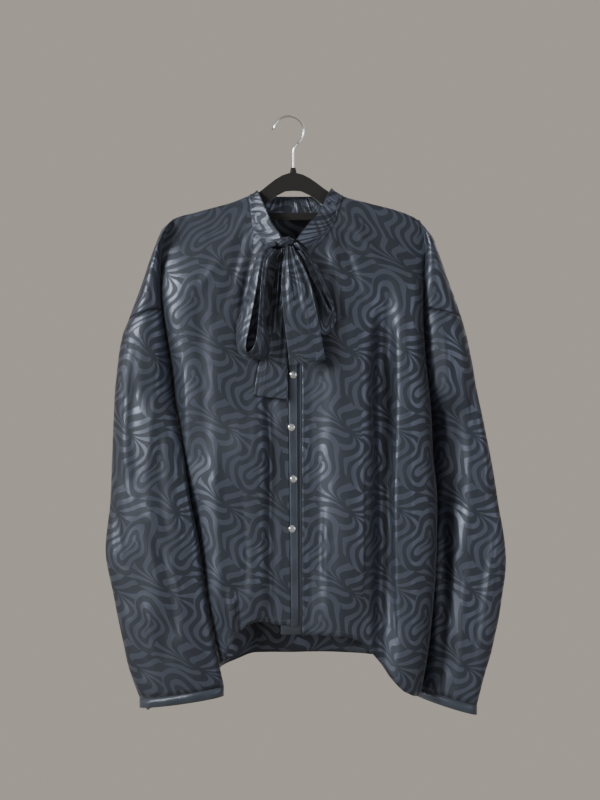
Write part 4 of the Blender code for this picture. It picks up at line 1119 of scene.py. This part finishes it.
shapes["collar"] = clothPiece("collar_stand", collarGrid(), bandWall, jacquard)
for name, rows, seed in (("bow_loop_right", loopRightRows, 4.0), ("bow_loop_left", loopLeftRows, 8.5)):
    loop = loopGrid(rows, *bowLook["loopCuts"])
    loop = pleated(loop, seed, bowLook["loopPleat"], bowLook["loopReach"], True)
    shapes[name] = clothPiece(name + "_cloth", loop, bandWall, jacquard)
tails = {}
for name, rows, seed in (("tie_end_front", tailFrontRows, 1.3), ("tie_end_rear", tailRearRows, 6.1)):
    tail = tailGrid(rows, *bowLook["tailCuts"])
    tail = pleated(tail, seed, bowLook["tailPleat"], bowLook["tailReach"], False)
    tails[name] = np.swapaxes(tail, 0, 1)
    shapes[name] = clothPiece(name + "_cloth", tails[name], bandWall, jacquard)
print("collar and bow made")


knotLook = {
    "swell": 0.10,
    "swellTurns": (7, 5),
    "grooves": 0.05,
    "grooveTurns": (14, 9),
    "folds": 0.16,
    "foldTurns": (-5, 9),
    "lean": 0.18,
}


# Knot: a wrapped pad with sloping creases
def makeKnot():
    build = bmesh.new()
    bmesh.ops.create_uvsphere(build, u_segments=64, v_segments=40, radius=0.5)
    for vert in build.verts:
        x, y, z = vert.co
        around, down = knotLook["swellTurns"]
        wave = 1 + knotLook["swell"] * math.sin(around * math.atan2(z, x) + down * y)
        across, down = knotLook["grooveTurns"]
        wave -= knotLook["grooves"] * abs(math.sin(across * x + down * z))
        across, down = knotLook["foldTurns"]
        deep = 1 - knotLook["folds"] * abs(math.sin(down * z + across * x + 0.5))
        vert.co = (
            knotCentre[0] + x * knotSize[0] * wave,
            knotCentre[1] + y * knotSize[1] * deep,
            -knotCentre[2] + z * knotSize[2] * wave + knotLook["lean"] * x * knotSize[2],
        )
    layer = build.loops.layers.uv.new("flatCut")
    for face in build.faces:
        face.smooth = True
        for loop in face.loops:
            loop[layer].uv = (loop.vert.co.x, loop.vert.co.z)
    made = meshPiece(build, "tie_knot_cloth", jacquard)
    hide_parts("tie_knot")


makeKnot()


# Buttons: a domed crystal of facets in a plain rim
def makeButton(number):
    low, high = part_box(f"button_{number}")
    centre = (low + high) / 2
    radius = buttonDiameter / 2
    rings = [(1.0, 0.0), (1.0, 0.55), (0.86, 0.80), (0.58, 1.0), (0.0, 1.0)]
    build = bmesh.new()
    sides = 16
    loops = []
    for share, lift in rings[:-1]:
        turn = math.pi / sides * (0 if share > 0.9 or share < 0.6 else 1)
        ring = []
        for k in range(sides):
            angle = 2 * math.pi * k / sides + turn
            place = (
                centre.x + radius * share * math.cos(angle),
                high.y - buttonThick * lift,
                centre.z + radius * share * math.sin(angle),
            )
            ring.append(build.verts.new(place))
        loops.append(ring)
    for lower, upper in zip(loops, loops[1:]):
        for k in range(sides):
            j = (k + 1) % sides
            build.faces.new([lower[k], lower[j], upper[j]])
            build.faces.new([lower[k], upper[j], upper[k]])
    build.faces.new(loops[0][::-1])
    build.faces.new(loops[-1])
    bmesh.ops.recalc_face_normals(build, faces=build.faces)
    made = meshPiece(build, f"button_{number}_crystal", crystal)
    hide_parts(f"button_{number}")


for number in range(1, 5):
    makeButton(number)

for node, material in (("hanger_body", flock), ("hanger_neck", flock), ("hanger_hook", chrome)):
    mesh = frame["nodes"][node].data
    mesh.materials.clear()
    mesh.materials.append(material)
print("knot, buttons and hanger made")


stitchLook = {
    "shade": "#38444e",
    "colour": "#46545f",
    "length": 0.0024,
    "gap": 0.0010,
    "thick": 0.00045,
}


# Stitches: short threads set along a row of points
def stitchTree():
    tree = bpy.data.node_groups.new("stitchRow", "GeometryNodeTree")
    sizes = {name: "Float" for name in ("Pitch", "Thread", "Length")}
    for name, kind in {"Geometry": "Geometry", **sizes, "Material": "Material"}.items():
        tree.interface.new_socket(name, in_out="INPUT", socket_type="NodeSocket" + kind)
    tree.interface.new_socket("Geometry", in_out="OUTPUT", socket_type="NodeSocketGeometry")
    entry = addNode(tree, "NodeGroupInput").outputs
    line = addNode(tree, "GeometryNodeMeshToCurve", {}, {"Mesh": entry["Geometry"]})
    values = {"Curve": line.outputs["Curve"], "Length": entry["Pitch"]}
    spaced = addNode(tree, "GeometryNodeResampleCurve", {"mode": "LENGTH"}, values)
    values = {"Vertices": 5, "Radius": entry["Thread"], "Depth": entry["Length"]}
    thread = addNode(tree, "GeometryNodeMeshCylinder", {}, values)
    tangent = addNode(tree, "GeometryNodeInputTangent")
    values = {"Vector": tangent.outputs["Tangent"]}
    turn = addNode(tree, "FunctionNodeAlignRotationToVector", {"axis": "Z"}, values)
    values = {"Points": spaced.outputs["Curve"], "Instance": thread.outputs["Mesh"]}
    values["Rotation"] = turn.outputs["Rotation"]
    placed = addNode(tree, "GeometryNodeInstanceOnPoints", {}, values)
    real = addNode(tree, "GeometryNodeRealizeInstances", {}, {"Geometry": placed.outputs["Instances"]})
    values = {"Geometry": real.outputs["Geometry"], "Material": entry["Material"]}
    dressed = addNode(tree, "GeometryNodeSetMaterial", {}, values)
    addNode(tree, "NodeGroupOutput", {}, {"Geometry": dressed.outputs["Geometry"]})
    return tree


# Spun thread, a shade darker than the cloth
def makeThread():
    material, tree, shader = newMaterial("slate_thread")
    place = addNode(tree, "ShaderNodeTexCoord").outputs["Object"]
    twist = addNode(tree, "ShaderNodeTexNoise", {}, {"Vector": place, "Scale": 900.0})
    mixShades(tree, shader, stitchLook, twist)
    shader.inputs["Roughness"].default_value = 0.6
    return material


stitches = stitchTree()
threadMaterial = makeThread()


def stitchRow(name, route):
    mesh = bpy.data.meshes.new(name + "_route")
    edges = [(k, k + 1) for k in range(len(route) - 1)]
    mesh.from_pydata([tuple(p) for p in route], edges, [])
    guide = bpy.data.objects.new(name + "_guide", mesh)
    bpy.context.scene.collection.objects.link(guide)
    rows = guide.modifiers.new("stitches", "NODES")
    rows.node_group = stitches
    values = {
        "Pitch": stitchLook["length"] + stitchLook["gap"],
        "Thread": stitchLook["thick"] / 2,
        "Length": stitchLook["length"],
        "Material": threadMaterial,
    }
    for item in stitches.interface.items_tree:
        if item.item_type == "SOCKET" and item.in_out == "INPUT" and item.name in values:
            rows[item.identifier] = values[item.name]
    bpy.context.view_layer.update()
    graph = bpy.context.evaluated_depsgraph_get()
    finished = bpy.data.meshes.new_from_object(guide.evaluated_get(graph))
    bpy.data.objects.remove(guide, do_unlink=True)
    made = bpy.data.objects.new(name, finished)
    bpy.context.scene.collection.objects.link(made)
    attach(made, "root")
    return made


# A route on a grid's outside, a set length in from its last row
def hemRoute(grid, inset, lift=0.0002):
    normal = gridNormals(grid)
    route = []
    for column in range(grid.shape[1]):
        points = grid[:, column]
        keep = ~np.isnan(points[:, 0])
        points = points[keep][::-1]
        if not keep[-1]:
            continue
        run = np.concatenate([[0], np.cumsum(np.linalg.norm(np.diff(points, axis=0), axis=1))])
        place = np.array([np.interp(inset, run, points[:, k]) for k in range(3)])
        route.append(place + normal[-2, column] * lift)
    return route


def edgeRoute(grid, share, lift=0.0002):
    normal = gridNormals(grid)
    places = grid[:, 0] + (grid[:, -1] - grid[:, 0]) * share
    return list(places + normal[:, 1] * lift)


hemInset = 0.0075
tieInset = 0.004
bandStitchShare = 0.9  # across the band
stitchPieces = {
    "front_right": stitchRow("hem_stitches_front_right", hemRoute(frontRight, hemInset)),
    "front_left": stitchRow("hem_stitches_front_left", hemRoute(frontLeft, hemInset)),
    "back": stitchRow("hem_stitches_back", hemRoute(backPanel, hemInset)),
    "placket_right": stitchRow("band_stitches_right", edgeRoute(bandRight, bandStitchShare)),
    "tie_end_front": stitchRow("hem_stitches_tie_front", hemRoute(tails["tie_end_front"], tieInset)),
    "tie_end_rear": stitchRow("hem_stitches_tie_rear", hemRoute(tails["tie_end_rear"], tieInset)),
}
print("stitches made")


# Sheets: the cut of what shows, by piece. Below, each piece's part is only hidden
cuts = {
    "front_right": ((0.300, 0.700), 0.155, "hung", ["hanger_body"]),
    "front_left": ((0.290, 0.740), 0.150, "hung", ["hanger_body"]),
    "back": ((0.560, 0.740), 0.330, "hung", ["hanger_body"]),
    "placket_right": ((0.014, 0.552), None, "stretched", ["front_right_cloth"]),
    "placket_left": ((0.032, 0.563), None, "stretched", ["front_left_cloth"]),
    "sleeve_right": ((0.330, 0.570), None, "hung", ["front_right_cloth"]),
    "sleeve_left": ((0.290, 0.580), None, "hung", ["front_left_cloth"]),
    "cuff_right": ((0.270, 0.015), None, "gathered", ["sleeve_right_cloth"]),
    "cuff_left": ((0.210, 0.015), None, "gathered", ["sleeve_left_cloth"]),
    "collar": ((0.330, 0.034), None, "gathered", ["front_right_cloth"]),
    "bow_loop_right": ((0.022, 0.340), None, "gathered", ["tie_knot_cloth"]),
    "bow_loop_left": ((0.018, 0.270), None, "gathered", ["tie_knot_cloth"]),
    "tie_end_front": ((0.054, 0.175), None, "hung", ["tie_knot_cloth"]),
    "tie_end_rear": ((0.048, 0.220), 0.0082, "hung", ["tie_knot_cloth"]),
}
for node, (flat, area, held, restsOn) in cuts.items():
    made = shapes[node]
    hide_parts(node)


stageLook = {
    "floorHalf": 1.6,
    "floorLevel": -1.7,
    "shade": "#d8d2c8",
    "colour": "#ded9d0",
    "worldColour": "#dbd3c6",
    "world": 0.56,
}


# Pale floor, soft light and camera
def makeStage():
    half, level = stageLook["floorHalf"], stageLook["floorLevel"]
    corners = [(-half, -half, level), (half, -half, level), (half, half, level), (-half, half, level)]
    floorMesh = bpy.data.meshes.new("floor")
    floorMesh.from_pydata(corners, [], [(0, 1, 2, 3)])
    floor = bpy.data.objects.new("floor", floorMesh)
    bpy.context.scene.collection.objects.link(floor)
    material, tree, shader = newMaterial("pale_floor")
    place = addNode(tree, "ShaderNodeTexCoord").outputs["Object"]
    grain = addNode(tree, "ShaderNodeTexNoise", {}, {"Vector": place, "Scale": 6.0})
    mixShades(tree, shader, stageLook, grain)
    shader.inputs["Roughness"].default_value = 0.9
    floorMesh.materials.append(material)


# Place, aim, size, watts, colour and spread in degrees
lights = {
    "key": ((-2.1, -1.45, 0.30), (0.22, 0, -0.56), (1.0, 1.5), 5.4, "#fffdf8", 30.0),
    "fill": ((1.8, -1.9, -0.2), (0.05, 0, -0.45), (1.6, 1.8), 14.0, "#eef3ff", 180.0),
    "rim": ((0.9, 1.7, 0.7), (0.0, 0, -0.40), (1.5, 1.5), 6.0, "#ffffff", 180.0),
}


def addLight(name, place, aim, size, power, colour, spread):
    lamp = bpy.data.lights.new(name, "AREA")
    lamp.shape = "RECTANGLE"
    lamp.size, lamp.size_y = size
    lamp.energy = power
    lamp.spread = math.radians(spread)
    lamp.color = toLinear(colour)[:3]
    made = bpy.data.objects.new(name, lamp)
    made.location = place
    toward = Vector(aim) - Vector(place)
    made.rotation_euler = toward.to_track_quat("-Z", "Y").to_euler()
    bpy.context.scene.collection.objects.link(made)


makeStage()
for name, values in lights.items():
    addLight(name, *values)
world = bpy.data.worlds.new("studio")
world.use_nodes = True
backdrop = world.node_tree.nodes["Background"]
backdrop.inputs["Color"].default_value = toLinear(stageLook["worldColour"])
backdrop.inputs["Strength"].default_value = stageLook["world"]
bpy.context.scene.world = world

camera = {"across": 0.017, "height": -0.424, "distance": 2.2, "lens": 66.0}
lensData = bpy.data.cameras.new("camera")
lensData.lens = camera["lens"]
cameraObject = bpy.data.objects.new("camera", lensData)
cameraObject.location = (camera["across"], -camera["distance"], camera["height"])
cameraObject.rotation_euler = (math.radians(90), 0, 0)
bpy.context.scene.collection.objects.link(cameraObject)
bpy.context.scene.camera = cameraObject
print("stage made")

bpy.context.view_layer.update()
